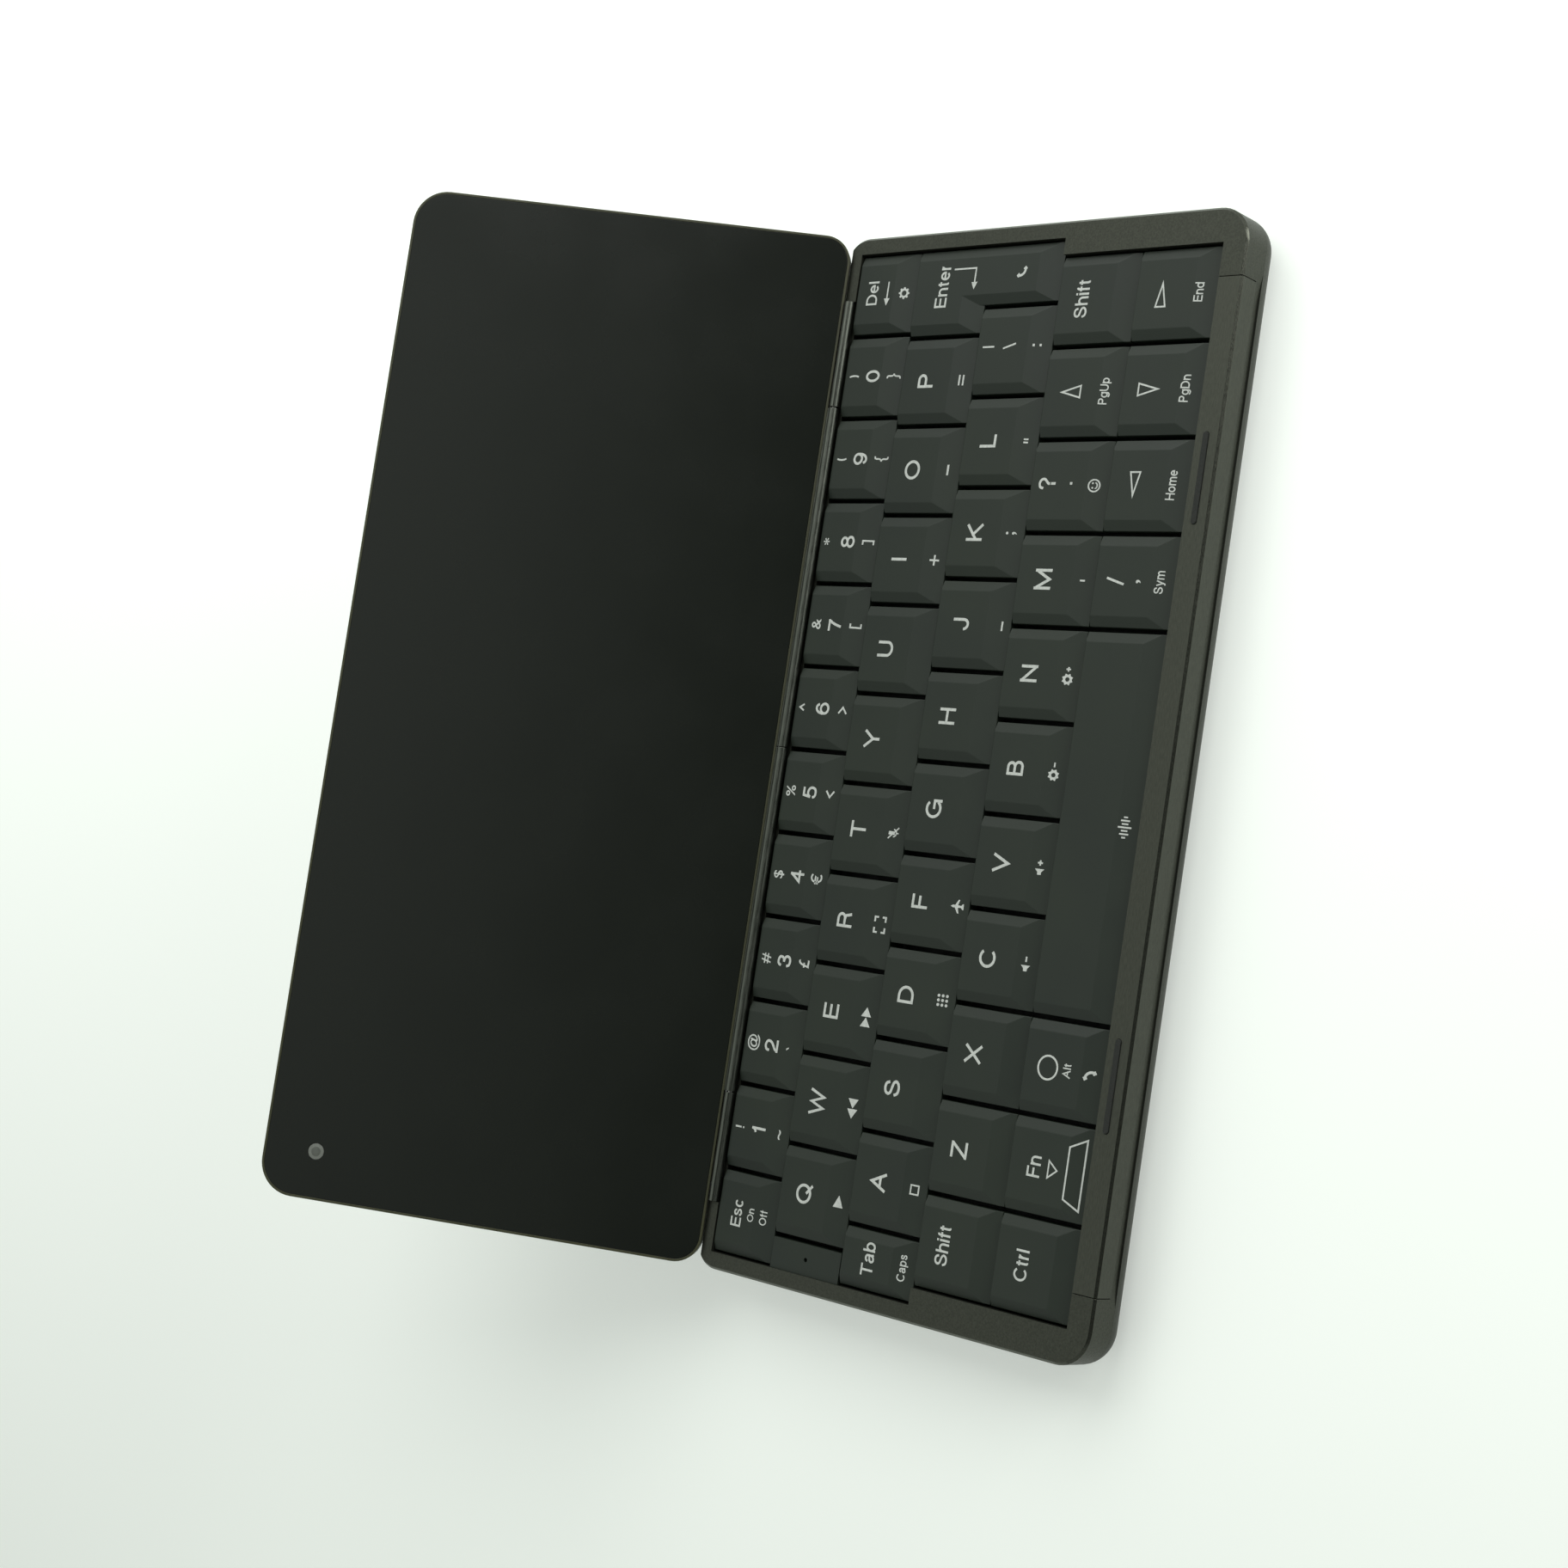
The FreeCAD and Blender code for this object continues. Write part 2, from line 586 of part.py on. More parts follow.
def knuckle(side):
    """A fixed hinge barrel on its foot, with a fine groove along its upper front."""
    x0, x1 = sorted((side * (KNUCKLE_INNER + SEAM), side * (TRIM_HALF - SEAM)))
    barrel = rod(HINGE_RADIUS, x1 - x0, (x0, AXIS_Y, AXIS_Z), (1, 0, 0))
    foot = block(x0, x1, AXIS_Y - KNUCKLE_FOOT, AXIS_Y + KNUCKLE_FOOT, BARREL_FLOOR, AXIS_Z)
    half = KNUCKLE_GROOVE / 2
    fine = block(x0, x1, -half, half, HINGE_RADIUS - 0.25, HINGE_RADIUS + 0.1)
    fine.rotate(FreeCAD.Vector(0, 0, 0), FreeCAD.Vector(1, 0, 0), 35)
    body = barrel.fuse(foot).cut(fine.translated(FreeCAD.Vector(0, AXIS_Y, AXIS_Z)))
    return body.cut(rod(PIN_RADIUS, x1 - x0, (x0, AXIS_Y, AXIS_Z), (1, 0, 0)))


def hinge_pins():
    pins = []
    for side in (-1, 1):
        x0, x1 = sorted((side * (KNUCKLE_INNER - PIN_GRIP), side * (TRIM_HALF - SEAM)))
        pins.append(rod(PIN_RADIUS, x1 - x0, (x0, AXIS_Y, AXIS_Z), (1, 0, 0)))
    return Part.makeCompound(pins)


def hinge_tubes():
    """The lid's two barrels between the knuckles, each on a web from the lid's frame."""
    tubes = []
    for side in (-1, 1):
        x0, x1 = sorted((side * SEAM / 2, side * (KNUCKLE_INNER - SEAM)))
        barrel = rod(HINGE_RADIUS, x1 - x0, (x0, AXIS_Y, AXIS_Z), (1, 0, 0))
        web = block(x0, x1, LID_ROOT, AXIS_Y, GLASS_FACE + 0.02, AXIS_Z + HINGE_RADIUS)
        grip = PIN_GRIP + 1
        start = x1 - grip if side > 0 else x0
        bore = rod(PIN_RADIUS + PIN_CLEARANCE, grip, (start, AXIS_Y, AXIS_Z), (1, 0, 0))
        tubes.append(barrel.fuse(web).removeSplitter().cut(bore))
    return opened(Part.makeCompound(tubes))


def panel_box(grow, z0, z1):
    half = HALF_WIDTH - PANEL_END_MARGIN + grow
    tip = LID_TIP + PANEL_EDGE_MARGIN - grow
    root = LID_ROOT - PANEL_EDGE_MARGIN + grow
    return block(-half, half, tip, root, z0, z1)


def camera_place():
    return -HALF_WIDTH + CAMERA_FROM_END, LID_TIP + CAMERA_FROM_TIP


def cover_glass():
    body = lid_slab(LID_RIM + GLASS_INSET, GLASS_FACE, GLASS_BACK)
    x, y = camera_place()
    radius = CAMERA_WINDOW_RADIUS + CAMERA_CLEARANCE
    return opened(body.cut(rod(radius, GLASS_THICKNESS, (x, y, GLASS_FACE), (0, 0, 1))))


def lid_frame():
    body = lid_slab(0, GLASS_FACE, FRAME_BACK)
    body = body.cut(lid_slab(LID_RIM, GLASS_FACE - 1, GLASS_BACK))
    body = body.cut(panel_box(PANEL_CLEARANCE, GLASS_FACE, FRAME_BACK + 1))
    x, y = camera_place()
    radius = CAMERA_BODY_RADIUS + CAMERA_CLEARANCE
    return opened(body.cut(rod(radius, LID_THICKNESS, (x, y, GLASS_FACE), (0, 0, 1))))


def front_camera():
    x, y = camera_place()
    window = rod(CAMERA_WINDOW_RADIUS, GLASS_THICKNESS, (x, y, GLASS_FACE), (0, 0, 1))
    body = rod(CAMERA_BODY_RADIUS, CAMERA_BODY_DEPTH, (x, y, GLASS_BACK), (0, 0, 1))
    return opened(window.fuse(body))


def display_panel():
    return opened(panel_box(0, GLASS_BACK, GLASS_BACK + PANEL_THICKNESS))


def display_flex():
    half = FLEX_WIDTH / 2
    z = GLASS_BACK + PANEL_THICKNESS
    y1 = LID_ROOT - LID_WALL - INNER_CLEARANCE
    return opened(block(-half, half, y1 - FLEX_START, y1, z, z + FLEX_THICKNESS))


def lid_back_cover():
    body = lid_slab(0, FRAME_BACK, LID_BACK)
    outer_round = min(LID_BACK_ROUND, 0.9 * (LID_BACK - FRAME_BACK))
    body = body.makeFillet(outer_round, edges_at(body, LID_BACK))
    cavity = lid_slab(LID_WALL, FRAME_BACK, LID_BACK - LID_WALL)
    inner_round = min(LID_INNER_ROUND, 0.9 * (LID_BACK - LID_WALL - FRAME_BACK))
    cavity = cavity.makeFillet(inner_round, edges_at(cavity, LID_BACK - LID_WALL))
    return opened(body.cut(cavity))


def all_nodes():
    nodes = {
        "case_frame": case_frame(),
        "front_trim": front_trim(),
        "lid_bumpers": lid_bumpers(),
        "bottom_cover": bottom_cover(),
        "rubber_feet": rubber_feet(),
        "case_screws": case_screws(),
        "key_plate": key_plate(),
        "dome_mat": dome_mat(),
        "key_row_filler": key_row_filler(),
        "usb_sockets": usb_sockets(),
        "speakers": speakers(),
        "battery": battery(),
        "main_board": main_board(),
        "hinge_knuckles": Part.makeCompound([knuckle(-1), knuckle(1)]),
        "hinge_pins": hinge_pins(),
        "hinge_tubes": hinge_tubes(),
        "cover_glass": cover_glass(),
        "lid_frame": lid_frame(),
        "front_camera": front_camera(),
        "display_panel": display_panel(),
        "display_flex": display_flex(),
        "lid_back_cover": lid_back_cover(),
    }
    nodes.update(key_nodes())
    return nodes


os.makedirs("parts", exist_ok=True)
for node, shape in all_nodes().items():
    shape.exportStep("parts/" + node + ".step")
    print(node, len(shape.Solids), "solids", round(shape.Volume, 1), "mm3", shape.isValid())
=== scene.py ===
import json
import math

import bpy
from mathutils import Matrix, Vector


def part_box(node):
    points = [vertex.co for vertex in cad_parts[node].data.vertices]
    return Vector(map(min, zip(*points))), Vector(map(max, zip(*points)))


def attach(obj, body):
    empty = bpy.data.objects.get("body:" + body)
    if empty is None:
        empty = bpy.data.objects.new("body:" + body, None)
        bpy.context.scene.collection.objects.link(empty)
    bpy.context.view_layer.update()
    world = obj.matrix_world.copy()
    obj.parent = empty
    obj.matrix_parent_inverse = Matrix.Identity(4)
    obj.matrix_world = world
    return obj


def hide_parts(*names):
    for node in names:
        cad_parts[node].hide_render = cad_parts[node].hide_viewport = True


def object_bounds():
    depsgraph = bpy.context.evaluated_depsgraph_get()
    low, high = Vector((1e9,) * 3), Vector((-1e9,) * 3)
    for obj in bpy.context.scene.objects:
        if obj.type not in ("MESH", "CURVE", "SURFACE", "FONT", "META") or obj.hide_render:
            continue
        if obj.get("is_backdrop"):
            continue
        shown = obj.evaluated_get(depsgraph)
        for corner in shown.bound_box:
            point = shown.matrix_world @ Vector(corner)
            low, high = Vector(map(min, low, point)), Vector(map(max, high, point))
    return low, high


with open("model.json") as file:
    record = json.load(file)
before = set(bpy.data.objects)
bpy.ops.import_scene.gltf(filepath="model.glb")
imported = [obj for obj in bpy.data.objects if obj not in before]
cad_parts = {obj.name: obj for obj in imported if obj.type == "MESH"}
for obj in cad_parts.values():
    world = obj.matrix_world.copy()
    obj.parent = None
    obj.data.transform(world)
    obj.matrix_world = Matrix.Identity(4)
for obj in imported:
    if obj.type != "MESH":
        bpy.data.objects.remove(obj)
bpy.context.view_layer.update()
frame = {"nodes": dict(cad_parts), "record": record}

# A clamshell pocket organiser with a full keyboard, lying flat, its lid open at its stop.
# Everything is in metres; sizes written in millimetres are multiplied by MM.
MM = 0.001
WELD = 0.001 * MM  # corners nearer than this are one corner
INK_WELD = 0.0002 * MM
nodes = frame["nodes"]
carried_by = {
    node: body for body, held in frame["record"]["behaviour"]["bodies"].items() for node in held
}


# ---------------------------------------------------------------- camera
def rolled_camera():
    """Looks down at the keyboard from in front, rolled so that the right end points up."""
    stands_at = (-0.02927, -0.25671, 0.32415)
    right = Vector((0.14997, -0.72991, -0.66689))
    up = Vector((0.98721, 0.07363, 0.14142))
    bpy.ops.object.camera_add()
    camera = bpy.context.object
    camera.name = "front_camera_view"
    turn = Matrix((right, up, right.cross(up))).transposed().to_4x4()
    camera.matrix_world = Matrix.Translation(stands_at) @ turn
    camera.data.sensor_width = 36
    camera.data.lens = 60.2
    camera.data.clip_start = 0.01
    camera.data.clip_end = 50
    bpy.context.scene.camera = camera


# ---------------------------------------------------------------- materials
def linear(code):
    """An sRGB hex colour as linear light."""
    parts = [int(code[i : i + 2], 16) / 255 for i in (1, 3, 5)]
    light = [p / 12.92 if p <= 0.04045 else ((p + 0.055) / 1.055) ** 2.4 for p in parts]
    return (*light, 1.0)


def add(tree, kind, settings, links=()):
    """Adds a node: settings are its inputs or its options, links are input and socket pairs."""
    node = tree.nodes.new(kind)
    for name, value in settings.items():
        if isinstance(name, int) or name in node.inputs:
            node.inputs[name].default_value = value
        else:
            setattr(node, name, value)
    for name, socket in links:
        tree.links.new(socket, node.inputs[name])
    return node


def blank(name, **shader):
    """A material with its shader, and Object coordinates for its pattern."""
    material = bpy.data.materials.new(name)
    material.use_nodes = True
    tree = material.node_tree
    tree.nodes.clear()
    sockets = {socket.replace("_", " "): value for socket, value in shader.items()}
    surface = add(tree, "ShaderNodeBsdfPrincipled", sockets)
    add(tree, "ShaderNodeOutputMaterial", {}, [("Surface", surface.outputs["BSDF"])])
    place = add(tree, "ShaderNodeTexCoord", {}).outputs["Object"]
    return material, tree, surface, place


def between(tree, factor, low, high):
    """A colour that goes from low to high with the factor."""
    return add(
        tree, "ShaderNodeMix", {"data_type": "RGBA", 6: linear(low), 7: linear(high)}, [(0, factor)]
    ).outputs[2]


def spread(tree, factor, low, high, start=0.3, stop=0.7):
    """A number that goes from low to high as the factor goes from start to stop."""
    return add(
        tree,
        "ShaderNodeMapRange",
        {"From Min": start, "From Max": stop, "To Min": low, "To Max": high},
        [("Value", factor)],
    ).outputs["Result"]


def raise_surface(tree, surface, height, depth):
    """Bumps the shader: a height of one stands this deep, in metres."""
    bump = add(tree, "ShaderNodeBump", {"Strength": 1.0, "Distance": depth}, [("Height", height)])
    tree.links.new(bump.outputs["Normal"], surface.inputs["Normal"])


def spark_textured_abs():
    # Key caps: black-green ABS moulded in a spark-eroded tool. The eye gets a soft even
    # matt face, with a very fine grain and slight clouding from skin contact.
    material, tree, surface, place = blank("spark_textured_abs", IOR=1.53, Specular_IOR_Level=0.35)
    grain = add(
        tree, "ShaderNodeTexNoise", {"Scale": 1 / (0.16 * MM), "Detail": 2.0}, [("Vector", place)]
    )
    cloud = add(
        tree, "ShaderNodeTexNoise", {"Scale": 1 / (14 * MM), "Detail": 3.0}, [("Vector", place)]
    )
    colour = between(tree, spread(tree, cloud.outputs["Fac"], 0, 1), "#1a221b", "#20281f")
    tree.links.new(colour, surface.inputs["Base Color"])
    tree.links.new(spread(tree, cloud.outputs["Fac"], 0.46, 0.56), surface.inputs["Roughness"])
    raise_surface(tree, surface, grain.outputs["Fac"], 0.006 * MM)
    return material


def pad_printed_ink():
    # Legends: off-white pad-printed ink, dead matt, slightly thin in places.
    material, tree, surface, place = blank("pad_printed_ink", IOR=1.5, Roughness=0.65)
    thin = add(
        tree, "ShaderNodeTexNoise", {"Scale": 1 / (0.5 * MM), "Detail": 2.0}, [("Vector", place)]
    )
    colour = between(tree, spread(tree, thin.outputs["Fac"], 0, 1), "#b9bdb8", "#cdd0cb")
    tree.links.new(colour, surface.inputs["Base Color"])
    return material


def fine_cast_enamel():
    # Case frame: magnesium casting in dark bronze-grey metallic enamel. The eye gets a
    # satin skin with flake sparkle and a sandy grain.
    material, tree, surface, place = blank("fine_cast_enamel", IOR=1.5, Metallic=0.8)
    flake = add(tree, "ShaderNodeTexVoronoi", {"Scale": 1 / (0.22 * MM)}, [("Vector", place)])
    sand = add(
        tree, "ShaderNodeTexNoise", {"Scale": 1 / (0.3 * MM), "Detail": 3.0}, [("Vector", place)]
    )
    colour = between(tree, spread(tree, sand.outputs["Fac"], 0, 1), "#3a3c35", "#464840")
    tree.links.new(colour, surface.inputs["Base Color"])
    rough = spread(tree, flake.outputs["Distance"], 0.38, 0.52, 0.1, 0.8)
    tree.links.new(rough, surface.inputs["Roughness"])
    raise_surface(tree, surface, sand.outputs["Fac"], 0.010 * MM)
    return material


def blasted_anodised_aluminium():
    # Front trim strip: bead-blasted, then anodised dark grey. The eye gets a lighter metal
    # band with a soft sheen and fine lines along its length from the rolled strip.
    material, tree, surface, place = blank("blasted_anodised_aluminium", Metallic=0.85)
    drawn_out = add(tree, "ShaderNodeMapping", {"Scale": (0.2, 1, 1)}, [("Vector", place)])
    long_grain = drawn_out.outputs["Vector"]
    lines = add(
        tree, "ShaderNodeTexNoise", {"Scale": 1 / (0.2 * MM), "Detail": 2.0}, [("Vector", long_grain)]
    )
    grit = add(
        tree, "ShaderNodeTexNoise", {"Scale": 1 / (0.2 * MM), "Detail": 3.0}, [("Vector", place)]
    )
    colour = between(tree, spread(tree, lines.outputs["Fac"], 0, 1), "#42443d", "#4b4d45")
    tree.links.new(colour, surface.inputs["Base Color"])
    tree.links.new(spread(tree, grit.outputs["Fac"], 0.40, 0.55), surface.inputs["Roughness"])
    raise_surface(tree, surface, grit.outputs["Fac"], 0.008 * MM)
    return material


def machined_rim():
    # Chamfer round the case's top edge: fly-cut smooth and sealed. The eye gets a thin line,
    # darker or brighter than the skin beside it by what it faces.
    material, tree, surface, place = blank("machined_rim", Metallic=0.9)
    lines = add(
        tree, "ShaderNodeTexNoise", {"Scale": 1 / (0.3 * MM), "Detail": 2.0}, [("Vector", place)]
    )
    colour = between(tree, spread(tree, lines.outputs["Fac"], 0, 1), "#4a4c45", "#55574f")
    tree.links.new(colour, surface.inputs["Base Color"])
    tree.links.new(spread(tree, lines.outputs["Fac"], 0.2, 0.27), surface.inputs["Roughness"])
    return material


def hard_anodised_aluminium():
    # Bottom cover and lid back: hard-anodised sheet, finely blasted. The eye gets a dark
    # grey satin face with faint clouding.
    material, tree, surface, place = blank("hard_anodised_aluminium", Metallic=0.7)
    grit = add(
        tree, "ShaderNodeTexNoise", {"Scale": 1 / (0.25 * MM), "Detail": 3.0}, [("Vector", place)]
    )
    cloud = add(
        tree, "ShaderNodeTexNoise", {"Scale": 1 / (30 * MM), "Detail": 2.0}, [("Vector", place)]
    )
    colour = between(tree, spread(tree, cloud.outputs["Fac"], 0, 1), "#3e403a", "#484a43")
    tree.links.new(colour, surface.inputs["Base Color"])
    tree.links.new(spread(tree, grit.outputs["Fac"], 0.42, 0.56), surface.inputs["Roughness"])
    raise_surface(tree, surface, grit.outputs["Fac"], 0.008 * MM)
    return material


def satin_moulded_nylon():
    # Lid frame: glass-filled nylon, satin from the tool, dark in its own colour. Its olive-brown tint
    # is partly painted light: it stands in for the backlit olive glow along the thin line round the
    # glass.
    material, tree, surface, place = blank("satin_moulded_nylon", IOR=1.53)
    grain = add(
        tree, "ShaderNodeTexNoise", {"Scale": 1 / (0.2 * MM), "Detail": 2.0}, [("Vector", place)]
    )
    # Dark nylon colour with a painted olive rim glow mixed in.
    colour = between(tree, spread(tree, grain.outputs["Fac"], 0, 1), "#33341f", "#3d3e28")
    tree.links.new(colour, surface.inputs["Base Color"])
    tree.links.new(spread(tree, grain.outputs["Fac"], 0.4, 0.5), surface.inputs["Roughness"])
    raise_surface(tree, surface, grain.outputs["Fac"], 0.004 * MM)
    return material


def back_printed_cover_glass():
    # Cover glass: toughened sheet printed black behind. The eye gets one deep black face,
    # polished, with the faint haze of a wiped oil-shedding coat.
    material, tree, surface, place = blank(
        "back_printed_cover_glass", IOR=1.5, Specular_IOR_Level=0.35
    )
    haze = add(
        tree, "ShaderNodeTexNoise", {"Scale": 1 / (18 * MM), "Detail": 4.0}, [("Vector", place)]
    )
    colour = between(tree, spread(tree, haze.outputs["Fac"], 0, 1), "#161915", "#191c18")
    tree.links.new(colour, surface.inputs["Base Color"])
    tree.links.new(spread(tree, haze.outputs["Fac"], 0.10, 0.17), surface.inputs["Roughness"])
    return material


def moulded_silicone():
    # Dome mat: black silicone sheet with a dusty matt face.
    material, tree, surface, place = blank("moulded_silicone", IOR=1.41)
    dust = add(
        tree, "ShaderNodeTexNoise", {"Scale": 1 / (1.5 * MM), "Detail": 4.0}, [("Vector", place)]
    )
    colour = between(tree, spread(tree, dust.outputs["Fac"], 0, 1), "#0b0d0c", "#131614")
    tree.links.new(colour, surface.inputs["Base Color"])
    tree.links.new(spread(tree, dust.outputs["Fac"], 0.6, 0.8), surface.inputs["Roughness"])
    return material


def moulded_rubber():
    # Feet and bumpers: black thermoplastic rubber, matt, with a pebbled tool grain.
    material, tree, surface, place = blank("moulded_rubber", IOR=1.52)
    pebble = add(tree, "ShaderNodeTexVoronoi", {"Scale": 1 / (0.35 * MM)}, [("Vector", place)])
    colour = between(tree, pebble.outputs["Distance"], "#141713", "#1c1f1b")
    tree.links.new(colour, surface.inputs["Base Color"])
    rough = spread(tree, pebble.outputs["Distance"], 0.7, 0.85, 0.1, 0.8)
    tree.links.new(rough, surface.inputs["Roughness"])
    raise_surface(tree, surface, pebble.outputs["Distance"], 0.02 * MM)
    return material


def drawn_steel(name, low, high):
    # Bright or blackened steel from drawing or stamping: fine lines along X.
    material, tree, surface, place = blank(name, Metallic=1.0)
    drawn_out = add(tree, "ShaderNodeMapping", {"Scale": (0.05, 1, 1)}, [("Vector", place)])
    stretched = drawn_out.outputs["Vector"]
    lines = add(
        tree, "ShaderNodeTexNoise", {"Scale": 1 / (0.12 * MM), "Detail": 2.0}, [("Vector", stretched)]
    )
    colour = between(tree, spread(tree, lines.outputs["Fac"], 0, 1), low, high)
    tree.links.new(colour, surface.inputs["Base Color"])
    tree.links.new(spread(tree, lines.outputs["Fac"], 0.25, 0.4), surface.inputs["Roughness"])
    raise_surface(tree, surface, lines.outputs["Fac"], 0.003 * MM)
    return material


def plain_moulding(name, low, high, rough_low, rough_high, grain_mm):
    # A moulded or coated inner part: even colour with a fine tool grain.
    material, tree, surface, place = blank(name, IOR=1.5)
    grain = add(
        tree, "ShaderNodeTexNoise", {"Scale": 1 / (grain_mm * MM), "Detail": 3.0}, [("Vector", place)]
    )
    colour = between(tree, spread(tree, grain.outputs["Fac"], 0, 1), low, high)
    tree.links.new(colour, surface.inputs["Base Color"])
    rough = spread(tree, grain.outputs["Fac"], rough_low, rough_high)
    tree.links.new(rough, surface.inputs["Roughness"])
    raise_surface(tree, surface, grain.outputs["Fac"], 0.005 * MM)
    return material


finishes = {
    "keycap_plastic": spark_textured_abs(),
    "case_plastic": fine_cast_enamel(),
    "trim_metal": blasted_anodised_aluminium(),
    "cover_metal": hard_anodised_aluminium(),
    "lid_frame_plastic": satin_moulded_nylon(),
    "cover_glass": back_printed_cover_glass(),
    "silicone": moulded_silicone(),
    "elastomer": moulded_rubber(),
    "hinge_metal": drawn_steel("blackened_hinge_steel", "#5a5d57", "#6a6d66"),
    "pin_steel": drawn_steel("ground_pin_steel", "#8d8c8a", "#a5a4a1"),
    "plate_steel": drawn_steel("stamped_plate_steel", "#7d7e80", "#929395"),
    "socket_steel": drawn_steel("nickel_plated_steel", "#a9a7a2", "#bdbbb6"),
    # Liquid-crystal panel, off: a smooth black film in a thin metal tray.
    "display": plain_moulding("panel_film", "#0e0f10", "#131415", 0.15, 0.22, 2.0),
    # Polyimide ribbon: amber film over copper.
    "flex": plain_moulding("polyimide_film", "#6b4214", "#7c4f1b", 0.3, 0.4, 0.8),
    # Camera can: black anodised barrel.
    "camera": plain_moulding("black_camera_can", "#50524d", "#5a5c56", 0.25, 0.35, 0.3),
    # Speaker box: black ABS.
    "speaker_plastic": plain_moulding("moulded_speaker_abs", "#151515", "#1d1d1d", 0.45, 0.6, 0.4),
    # Battery: aluminised pouch with a dull silver face.
    "battery_pouch": plain_moulding("aluminised_pouch", "#6f7173", "#83868a", 0.35, 0.5, 2.5),
    # Circuit board: green solder mask.
    "circuit_board": plain_moulding("solder_mask", "#0d2c1b", "#123722", 0.3, 0.4, 1.0),
}
ink = pad_printed_ink()
small_finishes = {
    "rim": machined_rim(),
    # Gilt contacts: thin gold over nickel.
    "contacts": drawn_steel("gold_plated_contact", "#a9823a", "#c29a4b"),
    # Ring round the lens: grey anodised, seen through the window.
    "lens_ring": plain_moulding("anodised_lens_ring", "#6c6f69", "#757872", 0.35, 0.45, 0.3),
    # Lens: smooth glass over a dark barrel; its grey base colour is a painted reflection.
    "lens": plain_moulding("coated_lens", "#565954", "#5f625c", 0.12, 0.2, 0.6),
}


# ---------------------------------------------------------------- modelling helpers
def take(*objects):
    """Selects these objects and nothing else; the first is the active one."""
    bpy.ops.object.select_all(action="DESELECT")
    for obj in objects:
        obj.select_set(True)
    bpy.context.view_layer.objects.active = objects[0]


def finish_piece(piece, name, body, slot, material=None):
    """Names the piece, gives it its finish and lets it ride on its body."""
    piece.name = piece.data.name = name
    piece.data.materials.clear()
    piece.data.materials.append(material or finishes[slot])
    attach(piece, body)


FLAT, SHARP, SMOOTH = 0.5, 25, 35  # degrees between faces


def reworked(node, width, sharp=SHARP):
    """A merged copy of a CAD node, with its sharp edges rounded, that stands for it."""
    piece = bpy.data.objects.new(node + "_finished", nodes[node].data.copy())
    bpy.context.collection.objects.link(piece)
    take(piece)
    bpy.ops.object.mode_set(mode="EDIT")
    bpy.ops.mesh.select_all(action="SELECT")
    bpy.ops.mesh.remove_doubles(threshold=WELD)
    bpy.ops.mesh.dissolve_limited(angle_limit=math.radians(FLAT))
    bpy.ops.mesh.select_all(action="DESELECT")
    bpy.ops.object.mode_set(mode="OBJECT")
    if width:
        bevel = piece.modifiers.new("rounded_edges", "BEVEL")
        bevel.width = width
        bevel.segments = 3
        bevel.limit_method = "ANGLE"
        bevel.angle_limit = math.radians(sharp)
        bevel.miter_outer = "MITER_ARC"
        bevel.use_clamp_overlap = True
        bpy.ops.object.modifier_apply(modifier=bevel.name)
    bpy.ops.object.shade_smooth_by_angle(angle=math.radians(SMOOTH))
    even = piece.modifiers.new("even_faces", "WEIGHTED_NORMAL")
    even.keep_sharp = True
    even.weight = 100
    bpy.ops.object.modifier_apply(modifier=even.name)
    slot = nodes[node].data.materials[0].name
    finish_piece(piece, node + "_finished", carried_by[node], slot)
    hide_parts(node)
    return piece


# ---------------------------------------------------------------- key caps and legends
SIDE_FACET, SIDE_DROP = 1.6 * MM, 0.6 * MM
KEY_GAP, ROW_GAP = 0.75 * MM, 0.3 * MM
INK_LAYER, INK_STEP = 0.03 * MM, 0.002 * MM  # crossing strokes lie one over the other
CAPITAL = 0.682  # a capital's height in the built-in type, for a size of one


class Cap:
    """Where one key cap stands, and how its skin falls towards its edges."""

    def __init__(self, node, left, right, low, high, front_rows):
        self.node, self.left, self.right = node, left, right
        self.front, self.rear, self.top = low.y, high.y, high.z
        self.facet, self.drop = (3.9 * MM, 0.85 * MM) if front_rows else (4.4 * MM, 0.75 * MM)
        self.middle = (left + right) / 2

    def skin(self, x, y):
        """The height of the cap's skin at this place."""
        side = max(0, SIDE_FACET - min(x - self.left, self.right - x)) * SIDE_DROP / SIDE_FACET
        front = max(0, self.facet - (y - self.front)) * self.drop / self.facet
        return self.top - max(side, front)


def row_of_caps(node, names, front_rows=False):
    """The caps of a node that holds several, evenly spaced from left to right."""
    low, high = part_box(node)
    pitch = (high.x - low.x + KEY_GAP) / len(names)
    return {
        name: Cap(node, low.x + i * pitch, low.x + (i + 1) * pitch - KEY_GAP, low, high, front_rows)
        for i, name in enumerate(names)
    }


def built_in(text, x, y, height):
    """A mark from the built-in type: x is its middle and y its baseline."""
    bpy.ops.object.select_all(action="DESELECT")
    bpy.ops.object.text_add()
    letters = bpy.context.object
    letters.data.body = text
    letters.data.align_x = "CENTER"
    letters.data.size = height * MM / CAPITAL
    letters.data.offset = 0.02 * MM
    letters.data.extrude = INK_LAYER / 2
    letters.data.resolution_u = 6
    bpy.ops.object.convert(target="MESH")
    mark = bpy.context.object
    for vertex in mark.data.vertices:
        vertex.co.x += x * MM
        vertex.co.y += y * MM
    return mark


